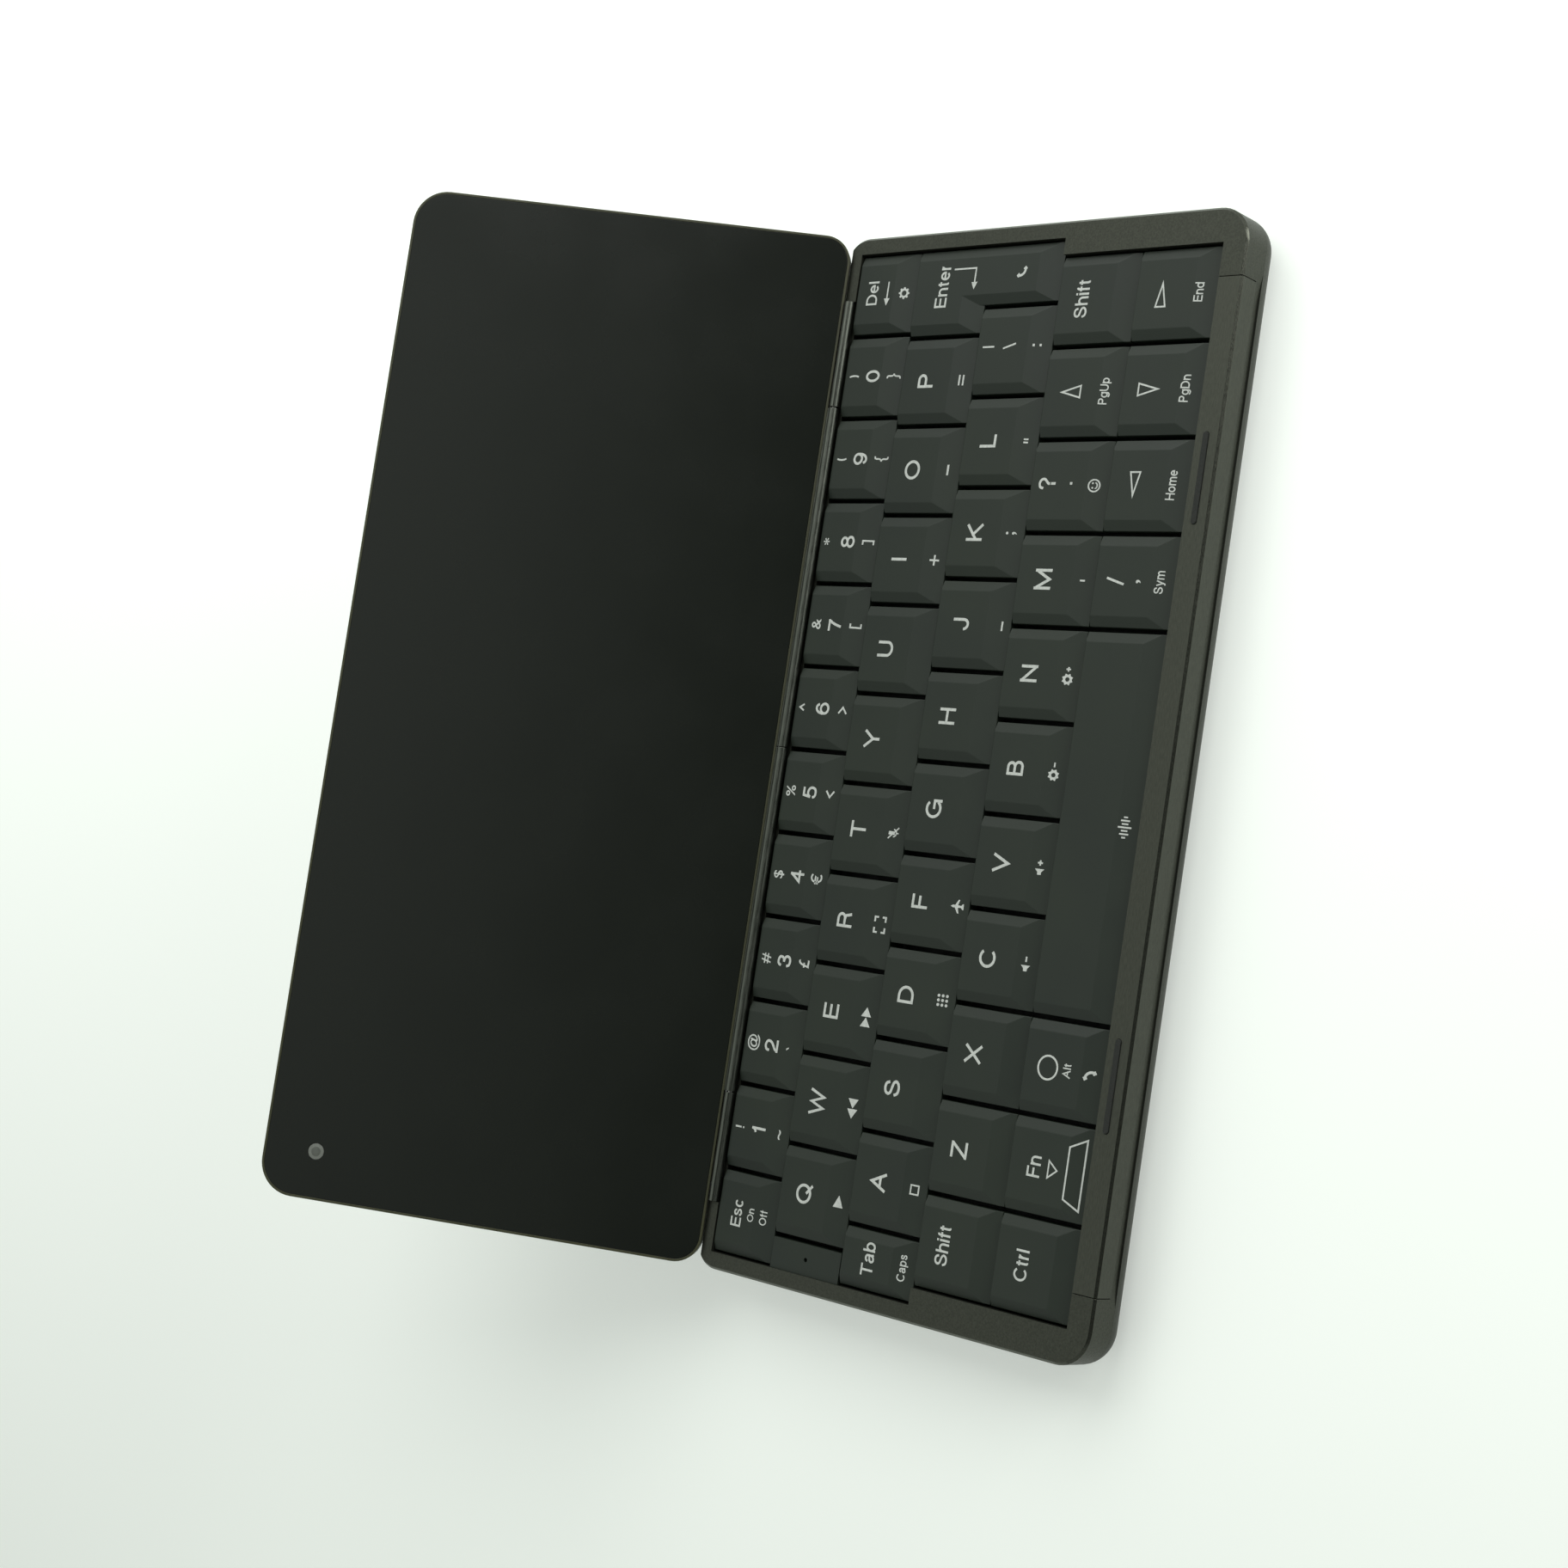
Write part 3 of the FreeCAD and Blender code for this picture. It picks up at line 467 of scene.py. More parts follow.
def shapes(*groups):
    """Printed shapes: each group is a filled outline and the holes in it, in millimetres."""
    made = []
    for group in groups:
        flat = bpy.data.curves.new("shape", "CURVE")
        flat.dimensions = "2D"
        flat.fill_mode = "BOTH"
        flat.extrude = INK_LAYER / 2
        for points in group:
            line = flat.splines.new("POLY")
            line.points.add(len(points) - 1)
            for point, (x, y) in zip(line.points, points):
                point.co = (x * MM, y * MM, 0, 1)
            line.use_cyclic_u = True
        obj = bpy.data.objects.new("shape", flat)
        obj.location.z = len(made) * INK_STEP
        bpy.context.collection.objects.link(obj)
        made.append(obj)
    take(*made)
    bpy.ops.object.convert(target="MESH")
    if len(made) > 1:
        bpy.ops.object.join()
    return bpy.context.object


def bow(x, y, rx, ry, start, stop, steps=14):
    """Points along an oval, from one angle to another in degrees."""
    angles = [math.radians(start + (stop - start) * i / steps) for i in range(steps + 1)]
    return [(x + rx * math.cos(a), y + ry * math.sin(a)) for a in angles]


def oval(x, y, rx, ry):
    """Points all round an oval, the last on the first."""
    return bow(x, y, rx, ry, 0, 360, 28)


def smooth(*points):
    """A flowing line through a few points."""
    line = [Vector(p) for p in points]
    line = [2 * line[0] - line[1]] + line + [2 * line[-1] - line[-2]]
    flow = []
    for a, b, c, d in zip(line, line[1:], line[2:], line[3:]):
        for t in (0, 0.2, 0.4, 0.6, 0.8):
            curve = (2 * a - 5 * b + 4 * c - d) * t**2 + (3 * b - a - 3 * c + d) * t**3
            flow.append(tuple((2 * b + (c - a) * t + curve) / 2))
    return flow + [tuple(line[-2])]


def band(points, width, squared=False):
    """A stroke of even width along a line, mitred at its corners; a line that ends where it
    starts gives a ring. Squared ends of straight parts reach half a width further."""
    line = [Vector(p) for p in points]
    for end, inner in ((0, 1), (-1, -2)) if squared else ():
        step = line[end] - line[inner]
        if step.length > 1.15 * width:
            line[end] = line[end] + step.normalized() * width / 2
    closed = (line[0] - line[-1]).length < 1e-6
    if closed:
        line = line[:-1]
    left, right = [], []
    for i, here in enumerate(line):
        before = here - line[i - 1] if i or closed else line[1] - here
        after = line[(i + 1) % len(line)] - here if i < len(line) - 1 or closed else before
        before, after = before.normalized(), after.normalized()
        side = Vector((-before.y - after.y, before.x + after.x)).normalized()
        reach = width / 2 / max(0.4, side.dot(Vector((-before.y, before.x))))
        left.append(tuple(here + side * reach))
        right.append(tuple(here - side * reach))
    return [left, right] if closed else [left + right[::-1]]


# Plain grotesque lettering, drawn as strokes: each sign has its width, as a share of a
# capital's height, and its lines, in shares of that width and height.
RING = oval(0.5, 0.36, 0.5, 0.36)
SIX = smooth(
    (0.93, 0.78), (0.8, 0.94), (0.52, 1), (0.2, 0.88), (0.02, 0.6), (0, 0.36), (0.03, 0.25)
)
SIGNS = {
    "A": (0.92, [[(0, 0), (0.5, 0.97), (1, 0)], [(0.19, 0.35), (0.81, 0.35)]]),
    "B": (0.72, [[(0, 0), (0, 1)], [(0, 1)] + bow(0.58, 0.765, 0.35, 0.235, 90, -90) + [(0, 0.53)],
                [(0, 0.53)] + bow(0.62, 0.265, 0.38, 0.265, 90, -90) + [(0, 0)]]),
    "C": (0.93, [bow(0.52, 0.5, 0.52, 0.5, 40, 320, 24)]),
    "D": (0.86, [[(0, 0), (0, 1)], [(0, 1)] + bow(0.42, 0.5, 0.58, 0.5, 90, -90, 20) + [(0, 0)]]),
    "E": (0.75, [[(1, 1), (0, 1), (0, 0), (1, 0)], [(0, 0.52), (0.93, 0.52)]]),
    "F": (0.7, [[(1, 1), (0, 1), (0, 0)], [(0, 0.5), (0.88, 0.5)]]),
    "G": (0.96, [bow(0.5, 0.5, 0.5, 0.5, 42, 325, 24), [(0.56, 0.47), (0.98, 0.47), (0.98, 0)]]),
    "H": (0.82, [[(0, 0), (0, 1)], [(1, 0), (1, 1)], [(0, 0.52), (1, 0.52)]]),
    "I": (0, [[(0, 0), (0, 1)]]),
    "J": (0.62, [[(1, 1)] + bow(0.5, 0.3, 0.5, 0.3, 0, -180, 14)]),
    "K": (0.86, [[(0, 0), (0, 1)], [(0.97, 1), (0.08, 0.41)], [(0.35, 0.6), (1, 0)]]),
    "L": (0.66, [[(0, 1), (0, 0), (1, 0)]]),
    "M": (1.02, [[(0, 0), (0, 1)], [(0.07, 0.85), (0.5, 0.04), (0.93, 0.85)], [(1, 0), (1, 1)]]),
    "N": (0.84, [[(0, 0), (0, 1)], [(0.1, 0.88), (0.9, 0.12)], [(1, 0), (1, 1)]]),
    "O": (1.0, [oval(0.5, 0.5, 0.5, 0.5)]),
    "P": (0.72, [[(0, 0), (0, 1)], [(0, 1)] + bow(0.6, 0.74, 0.4, 0.26, 90, -90) + [(0, 0.48)]]),
    "Q": (1.0, [oval(0.5, 0.5, 0.5, 0.5), [(0.6, 0.26), (0.98, -0.06)]]),
    "R": (0.76, [[(0, 0), (0, 1)], [(0, 1)] + bow(0.6, 0.75, 0.38, 0.25, 90, -90) + [(0, 0.5)],
                 smooth((0.55, 0.5), (0.85, 0.42), (0.92, 0.2), (1, 0))]),
    "S": (0.82, [smooth((0.92, 0.7), (0.8, 0.92), (0.5, 1), (0.17, 0.93), (0.06, 0.73),
                        (0.2, 0.58), (0.5, 0.51), (0.86, 0.41), (1, 0.25), (0.84, 0.07),
                        (0.5, 0), (0.15, 0.08), (0, 0.31))]),
    "T": (0.84, [[(0, 1), (1, 1)], [(0.5, 1), (0.5, 0)]]),
    "U": (0.82, [[(0, 1)] + bow(0.5, 0.36, 0.5, 0.36, 180, 360) + [(1, 1)]]),
    "V": (0.9, [[(0, 1), (0.5, 0.03), (1, 1)]]),
    "W": (1.3, [[(0, 1), (0.26, 0.03), (0.5, 0.95), (0.74, 0.03), (1, 1)]]),
    "X": (0.88, [[(0, 0), (1, 1)], [(0, 1), (1, 0)]]),
    "Y": (0.9, [[(0, 1), (0.5, 0.42), (1, 1)], [(0.5, 0.45), (0.5, 0)]]),
    "Z": (0.8, [[(0.02, 1), (0.97, 1)], [(0.9, 0.9), (0.1, 0.1)], [(0, 0), (1, 0)]]),
    "0": (0.68, [oval(0.5, 0.5, 0.5, 0.5)]),
    "1": (0.36, [[(1, 0), (1, 1)], [(0.95, 0.95), (0.6, 0.8), (0, 0.74)]]),
    "2": (0.68, [smooth((0.02, 0.66), (0.1, 0.89), (0.5, 1), (0.9, 0.88), (0.95, 0.66),
                        (0.72, 0.43), (0.2, 0.2), (0.02, 0.02)),
                 [(0, 0), (1, 0)]]),
    "3": (0.68, [smooth((0.03, 0.75), (0.16, 0.93), (0.48, 1), (0.86, 0.9), (0.9, 0.7),
                        (0.72, 0.56), (0.42, 0.53)),
                 smooth((0.42, 0.53), (0.82, 0.46), (1, 0.27), (0.86, 0.07), (0.5, 0),
                        (0.13, 0.07), (0, 0.28))]),
    "4": (0.7, [[(0.76, 0), (0.76, 0.98)], [(0.74, 0.95), (0.03, 0.3), (1, 0.3)]]),
    "5": (0.68, [[(0.9, 1), (0.2, 1), (0.07, 0.5)],
                 smooth((0.06, 0.47), (0.25, 0.6), (0.55, 0.64), (0.9, 0.52), (1, 0.3),
                        (0.86, 0.07), (0.5, 0), (0.14, 0.06), (0, 0.25))]),
    "6": (0.68, [SIX, oval(0.5, 0.32, 0.5, 0.32)]),
    "7": (0.66, [[(0, 1), (0.97, 1)], smooth((0.96, 0.98), (0.6, 0.55), (0.33, 0))]),
    "8": (0.68, [oval(0.5, 0.765, 0.42, 0.235), oval(0.5, 0.265, 0.5, 0.265)]),
    "9": (0.68, [[(1 - x, 1 - y) for x, y in SIX], oval(0.5, 0.68, 0.5, 0.32)]),
    "a": (0.66, [smooth((0.05, 0.53), (0.2, 0.69), (0.48, 0.73), (0.8, 0.67), (0.88, 0.52))
                 + [(0.88, 0.1), (1, 0)],
                 smooth((0.88, 0.44), (0.5, 0.39), (0.12, 0.33), (0, 0.18), (0.12, 0.03),
                        (0.4, 0), (0.74, 0.08), (0.86, 0.24))]),
    "b": (0.68, [[(0, 0), (0, 1)], RING]),
    "c": (0.64, [bow(0.5, 0.36, 0.5, 0.36, 42, 318, 18)]),
    "d": (0.68, [[(1, 0), (1, 1)], RING]),
    "e": (0.68, [bow(0.5, 0.36, 0.5, 0.36, 5, 318, 20), [(0.02, 0.38), (0.98, 0.38)]]),
    "f": (0.36, [[(0.4, 0)] + smooth((0.4, 0.8), (0.55, 0.97), (1, 1)), [(0, 0.7), (1, 0.7)]]),
    "g": (0.68, [RING, [(1, 0.72)] + bow(0.5, -0.02, 0.5, 0.24, 0, -155, 12)]),
    "h": (0.64, [[(0, 0), (0, 1)], bow(0.5, 0.44, 0.5, 0.29, 180, 0) + [(1, 0)]]),
    "i": (0, [[(0, 0), (0, 0.74)], [(0, 0.93), (0, 1.09)]]),
    "l": (0, [[(0, 0), (0, 1)]]),
    "m": (1.0, [[(0, 0), (0, 0.74)], bow(0.25, 0.46, 0.25, 0.28, 180, 0) + [(0.5, 0)],
                bow(0.75, 0.46, 0.25, 0.28, 180, 0) + [(1, 0)]]),
    "n": (0.64, [[(0, 0), (0, 0.74)], bow(0.5, 0.44, 0.5, 0.29, 180, 0) + [(1, 0)]]),
    "o": (0.7, [RING]),
    "p": (0.68, [[(0, -0.28), (0, 0.74)], RING]),
    "r": (0.36, [[(0, 0), (0, 0.74)], bow(0.8, 0.36, 0.8, 0.36, 175, 80, 8)]),
    "s": (0.6, [smooth((0.92, 0.53), (0.78, 0.68), (0.48, 0.73), (0.12, 0.66), (0.1, 0.48),
                       (0.5, 0.37), (0.93, 0.27), (0.93, 0.08), (0.5, 0), (0.13, 0.06),
                       (0, 0.2))]),
    "t": (0.36, [smooth((0.4, 0.94), (0.4, 0.5), (0.42, 0.12), (0.6, 0), (1, 0.01)),
                 [(0, 0.7), (0.95, 0.7)]]),
    "y": (0.66, [[(1, 0.74), (0.48, 0.0)], [(0, 0.74), (0.5, 0.02)],
                 smooth((0.52, 0.05), (0.36, -0.2), (0.05, -0.27))]),
    "?": (0.62, [smooth((0, 0.7), (0.12, 0.92), (0.5, 1), (0.88, 0.9), (0.98, 0.68),
                        (0.75, 0.5), (0.5, 0.36), (0.5, 0.24)),
                 [(0.5, -0.09), (0.5, 0.09)]]),
    "/": (0.4, [[(0, -0.04), (1, 1.04)]]),
    "\\": (0.4, [[(0, 1.04), (1, -0.04)]]),
    "|": (0, [[(0, 0), (0, 1)]]),
    ".": (0, [[(0, -0.09), (0, 0.09)]]),
    ":": (0, [[(0, -0.09), (0, 0.09)], [(0, 0.52), (0, 0.7)]]),
    "!": (0, [[(0, -0.09), (0, 0.09)], [(0, 0.38), (0, 1)]]),
    "(": (0.3, [bow(1.2, 0.42, 1.2, 0.68, 118, 242)]),
    ")": (0.3, [bow(-0.2, 0.42, 1.2, 0.68, -62, 62)]),
    "[": (0.42, [[(1, 1.05), (0, 1.05), (0, -0.2), (1, -0.2)]]),
    "]": (0.42, [[(0, 1.05), (1, 1.05), (1, -0.2), (0, -0.2)]]),
    "<": (0.62, [[(1, 0.85), (0, 0.45), (1, 0.05)]]),
    ">": (0.62, [[(0, 0.85), (1, 0.45), (0, 0.05)]]),
    "^": (0.62, [[(0, 0.5), (0.5, 0.98), (1, 0.5)]]),
}


# The pen's width and the gap between letters, as shares of a capital's height, and how much
# narrower letters are inside a word
PEN, LETTER_GAP, NARROW = 0.14, 0.1, 0.9


def word(text, x, y, height, stroke=None):
    """Printed lettering, in millimetres from the cap's front middle: x is its middle, y its
    baseline and height that of a capital."""
    if any(sign not in SIGNS for sign in text):
        return built_in(text, x, y, height)
    pen = stroke or PEN * height
    squeeze, gap = (NARROW, LETTER_GAP * height) if len(text) > 1 else (1, 0)
    lines, at = [], 0.0
    for sign in text:
        wide, strokes = SIGNS[sign]
        wide = max(wide * squeeze * height - pen, 0)
        for points in strokes:
            lines.append([(at + px * wide, y + pen / 2 + py * (height - pen)) for px, py in points])
        at += wide + pen + gap
    shift = x - (at - gap - pen) / 2
    return shapes(*[band([(px + shift, py) for px, py in line], pen, True) for line in lines])


def bar(x0, y0, x1, y1, width=0.3):
    """A straight stroke."""
    return band([(x0, y0), (x1, y1)], width)


def circle(x, y, radius, steps=28):
    """Corners round a circle, for a filled dot or a hole."""
    turns = [2 * math.pi * i / steps for i in range(steps)]
    return [(x + radius * math.cos(t), y + radius * math.sin(t)) for t in turns]


def hollow(points, width):
    """An outlined polygon with mitred corners."""
    corners = [Vector(p) for p in points]
    inner = []
    for i, here in enumerate(corners):
        before = (here - corners[i - 1]).normalized()
        after = (corners[(i + 1) % len(corners)] - here).normalized()
        turn = before.x * after.y - before.y * after.x
        inner.append(tuple(here + (after - before) * width / turn))
    return [points, inner]


def box_points(x, y, wide, tall):
    """The corners of a box about its middle."""
    return [
        (x - wide / 2, y - tall / 2), (x + wide / 2, y - tall / 2),
        (x + wide / 2, y + tall / 2), (x - wide / 2, y + tall / 2),
    ]


def handset(x, y, size, turn):
    """A telephone handset: two ear pieces on a bowed grip."""
    turn = math.radians(turn)
    c, s = size * math.cos(turn), size * math.sin(turn)
    parts = [
        band(bow(0, -0.35, 0.8, 0.62, 25, 155), 0.36),
        [box_points(-0.74, -0.12, 0.52, 0.5)],
        [box_points(0.74, -0.12, 0.52, 0.5)],
    ]
    return [
        [[(x + px * c - py * s, y + px * s + py * c) for px, py in loop] for loop in part]
        for part in parts
    ]


def plus_or_minus(x, y, half, rise, pen, plus):
    """A minus sign, or a plus sign whose three strokes don't overlap."""
    signs = [bar(x - half, y, x + half, y, pen)]
    if plus:
        signs += [bar(x, y + pen / 2, x, y + rise, pen), bar(x, y - rise, x, y - pen / 2, pen)]
    return signs


def loudspeaker(x, y, plus):
    """The sound sign, louder or softer."""
    horn = [(-1.1, -0.3), (-0.7, -0.3), (-0.2, -0.75), (-0.2, 0.75), (-0.7, 0.3), (-1.1, 0.3)]
    speaker = [[(x + px, y + py) for px, py in horn]]
    return [speaker] + plus_or_minus(x + 0.7, y, 0.4, 0.4, 0.26, plus)


def sun(x, y, plus):
    """The brightness sign, brighter or darker."""
    rim = [
        (x - 0.55 + (0.95 if i % 2 else 0.7) * math.cos(math.pi * i / 8),
         y + (0.95 if i % 2 else 0.7) * math.sin(math.pi * i / 8))
        for i in range(16)
    ]
    disc = [rim, circle(x - 0.55, y, 0.35, 14)]
    return [disc] + plus_or_minus(x + 1, y, 0.35, 0.36, 0.24, plus)


def cog(x, y, radius, teeth=8):
    """The settings sign: a toothed wheel with a hole."""
    rim = []
    for tooth in range(teeth):
        for step, reach in ((-0.3, 0.78), (-0.18, 1), (0.18, 1), (0.3, 0.78)):
            angle = 2 * math.pi * (tooth + step) / teeth
            rim.append((x + radius * reach * math.cos(angle), y + radius * reach * math.sin(angle)))
    return [[rim, circle(x, y, radius * 0.45, 16)]]


THIRD_ROW = -7 * MM  # where the rows with the shorter facets begin
caps = row_of_caps("number_keys", list("1234567890"))
caps.update(row_of_caps("lower_letter_keys", list("zxcvbnm"), True))
for node in nodes:
    if node.startswith("key_") and node not in ("key_plate", "key_row_filler"):
        front_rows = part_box(node)[0].y < THIRD_ROW
        caps.update(row_of_caps(node, [node[4:]], front_rows and node != "key_enter"))

# Heights of capitals, digits, words and small words, and the pen of outlined signs
LETTER, DIGIT, WORD, SMALL, OUTLINE = 3.15, 2.95, 2.4, 1.42, 0.26
SECOND = 2.4  # how far the second functions stand from the cap's front
marks = {name: [] for name in caps}
for name in "qwertyuiopasdfghjklzxcvbnm":
    marks[name].append(word(name.upper(), 0, 7.9, LETTER, 0.45))
for name, shifted, third in zip("1234567890", "!@#$%^&*()", "~`£€<>[]{}"):
    marks[name].append(word(name, 0, 4.8, DIGIT, 0.42))
    marks[name].append(word(shifted, 0, 9.5, 1.9, 0.28))
    marks[name].append(word(third, 0, 1.35, 1.9, 0.28))

# Second functions along the front of the letter keys
marks["q"].append(shapes([[(-0.9, 1.5), (1.0, 2.4), (-0.9, 3.3)]]))
marks["w"].append(
    shapes([[(0, 1.5), (0, 3.3), (-1.5, 2.4)]], [[(1.6, 1.5), (1.6, 3.3), (0.1, 2.4)]])
)
marks["e"].append(
    shapes([[(0, 1.5), (1.5, 2.4), (0, 3.3)]], [[(-1.6, 1.5), (-0.1, 2.4), (-1.6, 3.3)]])
)
corner = [(1.2, 0.35), (1.2, 0.95), (0.45, 0.95)]
marks["r"].append(
    shapes(*[
        band([(across * x, SECOND + along * y) for x, y in corner], 0.3)
        for across in (-1, 1)
        for along in (-1, 1)
    ])
)
marks["t"].append(
    shapes(
        [box_points(0, 2.7, 0.55, 1.1)],
        band(bow(0, 2.5, 0.6, 0.62, 190, 350), 0.2),
        bar(-0.9, 3.3, 0.9, 1.5, 0.2),
        bar(0, 1.9, 0, 1.5, 0.2),
    )
)
marks["i"].append(
    shapes(bar(-0.85, SECOND, 0.85, SECOND), bar(0, 2.55, 0, 3.25), bar(0, 1.55, 0, 2.25))
)
marks["o"].append(shapes(bar(-0.85, SECOND, 0.85, SECOND, 0.34)))
marks["p"].append(shapes(bar(-0.85, 2.75, 0.85, 2.75, 0.28), bar(-0.85, 2.05, 0.85, 2.05, 0.28)))
marks["a"].append(shapes(hollow(box_points(0, SECOND, 1.6, 1.6), 0.24)))
dots = [(x * 0.72, SECOND + y * 0.72) for x in (-1, 0, 1) for y in (-1, 0, 1)]
marks["d"].append(shapes(*[[circle(x, y, 0.24, 12)] for x, y in dots]))
wing = [
    (0.2, 3.0), (0.2, 2.65), (1.05, 2.15), (1.05, 1.9),
    (0.2, 2.15), (0.15, 1.6), (0.45, 1.35), (0.45, 1.15),
]
marks["f"].append(shapes([[(0, 3.4)] + wing + [(-x, y) for x, y in wing[::-1]]]))
marks["j"].append(shapes(bar(-0.75, 1.7, 0.75, 1.7, 0.28)))
marks["k"].append(word(";", 0, 1.9, 2.2))
marks["l"].append(shapes(bar(-0.25, 1.9, -0.25, 2.7, 0.26), bar(0.25, 1.9, 0.25, 2.7, 0.26)))
marks["m"].append(shapes(bar(0, 1.9, 0, 2.7, 0.26)))
marks["c"].append(shapes(*loudspeaker(0, SECOND, False)))
marks["v"].append(shapes(*loudspeaker(0, SECOND, True)))
marks["b"].append(shapes(*sun(0, SECOND, False)))
marks["n"].append(shapes(*sun(0, SECOND, True)))

# Keys with words and signs of their own
marks["esc"] += [
    word("Esc", 0.2, 7.2, 2.2), word("On", 0.3, 4.6, 1.35), word("Off", 0.3, 2.1, 1.35)
]
marks["delete"].append(word("Del", 0.2, 7.9, 2.3))
marks["delete"].append(
    shapes(bar(-1.0, 5.8, 2.0, 5.8, 0.26), [[(-2.0, 5.8), (-0.8, 6.4), (-0.8, 5.2)]])
)
marks["delete"].append(shapes(*cog(0, 2.5, 1.0)))
marks["enter"].append(word("Enter", 0.9, 22.4, WORD))
marks["enter"].append(
    shapes(
        band([(3.6, 21.6), (3.6, 17.1), (1.3, 17.1)], 0.26),
        [[(0.1, 17.1), (1.3, 17.7), (1.3, 16.5)]],
    )
)
marks["enter"].append(shapes(*handset(2.3, 7.6, 1.1, 132)))
marks["tab"] += [word("Tab", 0.3, 8.0, WORD), word("Caps", 0.2, 1.9, SMALL)]
marks["colon"] += [
    word("|", 0.6, 11.1, 2.3, 0.28), word("\\", 0.6, 6.9, 2.3, 0.28), word(":", 0.6, 2.0, 2.4, 0.4)
]
for side in ("shift_left", "shift_right"):
    marks[side].append(word("Shift", 0, 8.7, WORD))
marks["question"] += [word("?", 0.3, 10.0, 3.0, 0.4), word(".", 0.3, 6.6, 2.8, 0.4)]
marks["question"].append(
    shapes(
        band(oval(0, 2.65, 0.92, 0.92), 0.22),
        [circle(-0.35, 2.9, 0.15, 10)],
        [circle(0.35, 2.9, 0.15, 10)],
        band(bow(0, 2.65, 0.5, 0.5, 200, 340), 0.18),
    )
)
for name, arrow, below, height in (
    ("up", [(-1.1, 7.5), (1.1, 7.5), (0, 11.6)], "PgUp", 2.6),
    ("down", [(-1.1, 11.7), (0, 7.6), (1.1, 11.7)], "PgDn", 2.6),
    ("left", [(2.1, 8.8), (2.1, 10.9), (-2.1, 9.85)], "Home", 2.5),
    ("right", [(-2.1, 8.8), (2.1, 9.85), (-2.1, 10.9)], "End", 2.6),
):
    marks[name] += [shapes(hollow(arrow, OUTLINE)), word(below, 0, height, SMALL)]
marks["ctrl"].append(word("Ctrl", 0, 8.5, WORD))
marks["fn"] += [word("Fn", 0, 8.8, WORD), shapes(hollow([(-1.5, 7.5), (0, 5.6), (1.5, 7.5)], 0.24))]
marks["fn"].append(shapes(hollow([(-5.4, 1.3), (5.4, 1.3), (3.9, 4.2), (-3.9, 4.2)], OUTLINE)))
marks["alt"] += [word("Alt", 0, 5.9, SMALL), shapes(*handset(0, 2.7, 1.1, -58))]
marks["alt"].append(shapes(band(oval(0, 10.1, 1.75, 1.75), 0.3)))
wave = zip(range(-3, 4), (0.3, 0.7, 0.5, 1.05, 0.5, 0.7, 0.3))
marks["space"].append(shapes(*[bar(i * 0.5, 2.8 - h, i * 0.5, 2.8 + h, 0.24) for i, h in wave]))
marks["slash"] += [
    word("/", 0, 9.2, 3.0, 0.36), word(",", 0, 6.5, 2.4), word("Sym", 0, 2.2, SMALL)
]

# Each cap's marks become one layer of ink that is cut at the facet's crease and laid on
# the skin, and each node's layers become one piece.
printed = {}
for name, parts in marks.items():
    cap = caps[name]
    for part in parts:
        for vertex in part.data.vertices:
            vertex.co.x += cap.middle
            vertex.co.y += cap.front - ROW_GAP / 2
    if parts:
        take(*parts)
        if len(parts) > 1:
            bpy.ops.object.join()
        legend = bpy.context.object
        ys = [v.co.y for v in legend.data.vertices]
        crease = cap.front + cap.facet
        bpy.ops.object.mode_set(mode="EDIT")
        bpy.ops.mesh.select_all(action="SELECT")
        bpy.ops.mesh.remove_doubles(threshold=INK_WELD)
        if min(ys) < crease < max(ys):
            bpy.ops.mesh.bisect(plane_co=(0, crease, 0), plane_no=(0, 1, 0))
        bpy.ops.mesh.select_all(action="DESELECT")
        bpy.ops.object.mode_set(mode="OBJECT")
        for vertex in legend.data.vertices:
            vertex.co.z += cap.skin(vertex.co.x, vertex.co.y)
        printed.setdefault(cap.node, []).append(legend)
for node, legends in printed.items():
    take(*legends)
    if len(legends) > 1:
        bpy.ops.object.join()
    legend = bpy.context.object
    finish_piece(legend, "print_on_" + node, carried_by[node], "keycap_plastic", ink)

CAP_EDGE, CAP_CREASE = 0.16 * MM, 4  # the caps' rounding, from this angle in degrees
for node in sorted({cap.node for cap in caps.values()}) + ["key_row_filler"]:
    reworked(node, CAP_EDGE, CAP_CREASE)

# ---------------------------------------------------------------- case, trims and lid
# How wide each node's edges are rounded, in millimetres
for node, width in {
    "case_frame": 0.12, "front_trim": 0.06, "lid_frame": 0.06, "cover_glass": 0.05,
    "hinge_knuckles": 0.05, "hinge_tubes": 0.08, "bottom_cover": 0.08, "lid_back_cover": 0,
    "lid_bumpers": 0.1, "rubber_feet": 0, "case_screws": 0.05, "usb_sockets": 0.05,
    "front_camera": 0.05, "speakers": 0.2, "battery": 0.3, "main_board": 0.05,
}.items():
    reworked(node, width * MM)


def polish_rim(piece):
    """The chamfer along the case's top outer edge gets its machined finish."""
    piece.data.materials.append(small_finishes["rim"])
    low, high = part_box("case_frame")
    chamfer, steepest, flattest = 0.7 * MM, 0.5, 0.9
    for face in piece.data.polygons:
        x, y, z = face.center
        outer = abs(x) > high.x - chamfer or y < low.y + chamfer or y > high.y - chamfer
        if outer and z > high.z - chamfer and steepest < face.normal.z < flattest:
            face.material_index = 1


def small_box(low, high):
    """A small block between two corners."""
    bpy.ops.object.select_all(action="DESELECT")
    bpy.ops.mesh.primitive_cube_add(size=1)
    block = bpy.context.object
    for vertex in block.data.vertices:
        vertex.co = Vector(h if c > 0 else l for c, l, h in zip(vertex.co, low, high))
    return block


